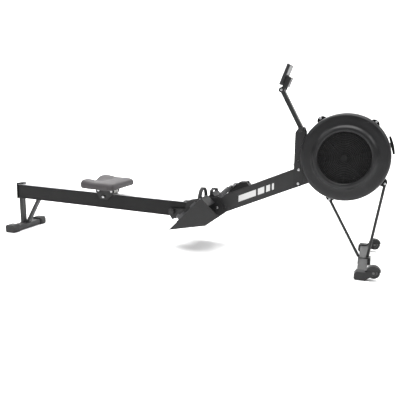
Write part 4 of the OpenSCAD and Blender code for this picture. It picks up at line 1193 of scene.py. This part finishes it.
worked("monitor_arm", 0.0020, frame_black, 3)
knob_low, knob_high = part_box("arm_knob")
arm_pivot = Vector((0.7359589, 0.0, 0.730))
pin = [
    (0.0, 0.0), (0.0090, 0.0), (0.0118, 0.0010, 0.3), (0.0130, 0.0035, 1.0), (0.0130, 0.0120, 1.0),
    (0.0122, 0.0150, 0.8), (0.0085, 0.0160), (0.0050, 0.0162),
    (0.0050, knob_high.y - knob_low.y - 0.0056),
    (0.0080, knob_high.y - knob_low.y - 0.0054), (0.0080, knob_high.y - knob_low.y - 0.0010),
    (0.0066, knob_high.y - knob_low.y), (0.0, knob_high.y - knob_low.y),
]
fitted(lathe("arm_knob_skin", pin, (arm_pivot.x, knob_low.y, arm_pivot.z), (0, 1, 0), 96, 6,
    0.0026),
       "arm_knob", knob_plastic, ["arm_knob"])


# ---- Monitor ----
# A thin black case with a grey liquid-crystal window and three push buttons under
# it. A battery box, two pivot ears and a lighter panel are screwed to its back.

case_plastic = grained("monitor_case_plastic", (0.018, 0.018, 0.019), 0.45, 700.0, 0.0001, 0.12,
    0.4)
back_plastic = grained("monitor_back_plastic", (0.20, 0.20, 0.20), 0.5, 600.0, 0.0001, 0.08, 0.4)
worked("monitor_case", 0.0022, case_plastic, 3)
worked("monitor_back", 0.0022, case_plastic, 3)
worked("monitor_panel", 0.0010, back_plastic, 3)
glass = grained("monitor_window", (0.24, 0.27, 0.225), 0.16, 90.0, 0.00002, 0.05, 0.5, 0.0, 0.6)
worked("monitor_screen", 0.0003, glass)
key_grey = grained("button_rubber", (0.15, 0.155, 0.16), 0.55, 700.0, 0.0001, 0.08, 0.35)
for node in ("button_right", "button_middle", "button_left"):
    worked(node, 0.0011, key_grey, 3)

arm_top = Vector((0.6203823, 0.0, 0.9437546))
face_tilt = radians(20.8)


def on_monitor(x, y, z):
    """A point measured out of, across and up the monitor's face from the arm's pivot."""
    return tipped(arm_top, -face_tilt, x, y, z)


segments = {
    "top": (0.0, 1.0, 1.0, 1.0), "upper_left": (0.0, 0.5, 0.0, 1.0),
    "upper_right": (1.0, 0.5, 1.0, 1.0),
    "middle": (0.0, 0.5, 1.0, 0.5), "lower_left": (0.0, 0.0, 0.0, 0.5),
    "lower_right": (1.0, 0.0, 1.0, 0.5),
    "bottom": (0.0, 0.0, 1.0, 0.0),
}
ink_points, ink_faces = [], []


def ink_bar(y0, z0, y1, z1, wide):
    """A thin dark bar on the window between two places."""
    first = len(ink_points)
    a, b = Vector((y0, z0)), Vector((y1, z1))
    along = (b - a).normalized()
    across = Vector((-along.y, along.x)) * wide / 2
    a, b = a + along * wide * 0.6, b - along * wide * 0.6
    tips = [a - along * wide / 2, a - across, b - across, b + along * wide / 2, b + across,
        a + across]
    for depth in (-0.02085, -0.02115):
        for tip in tips:
            ink_points.append(on_monitor(depth, tip.x, tip.y))
    ink_faces.append(tuple(first + k for k in range(6)))
    ink_faces.append(tuple(first + 6 + k for k in reversed(range(6))))
    for k in range(6):
        a, b = first + k, first + (k + 1) % 6
        ink_faces.append((a, a + 6, b + 6, b))


rows = [(0.1145, 0.0155, 0.0090, 4, 0.0130), (0.0890, 0.0130, 0.0075, 4, 0.0108),
    (0.0665, 0.0100, 0.0058, 3, 0.0084)]
for z, tall, wide, count, step in rows:
    for k in range(count):
        left = 0.036 - k * step
        for y0, z0, y1, z1 in segments.values():
            if (y0, z0, y1, z1) == segments["middle"]:
                continue
            ink_bar(left - y0 * wide, z + z0 * tall, left - y1 * wide, z + z1 * tall, 0.0013)
for k in range(9):
    ink_bar(-0.006 - 0.0036 * k, 0.0640, -0.006 - 0.0036 * k, 0.0690 + 0.0016 * (k % 5) + 0.002,
        0.0022)
ink = grained("display_ink", (0.030, 0.034, 0.030), 0.35, 300.0, 0.00001, 0.1, 0.4)
fitted(plain_mesh("display_segments", ink_points, ink_faces), "monitor", ink)
bolts("battery_box_screws", "monitor", bolt_steel, [
    (on_monitor(0.0268, y, z), (cos(face_tilt), 0, -sin(face_tilt)), 0.0028, 0.0014)
    for y in (-0.023, 0.023) for z in (0.030, 0.070)])
ear = (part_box("monitor_arm")[1].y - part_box("monitor_arm")[0].y) / 2 - 0.003
bolts("monitor_pivot_bolts", "monitor", bolt_steel, [
    ((arm_top.x, side * (ear + 0.0088), arm_top.z), (0, side, 0), 0.0064, 0.0036) for side in (-1,
    1)])
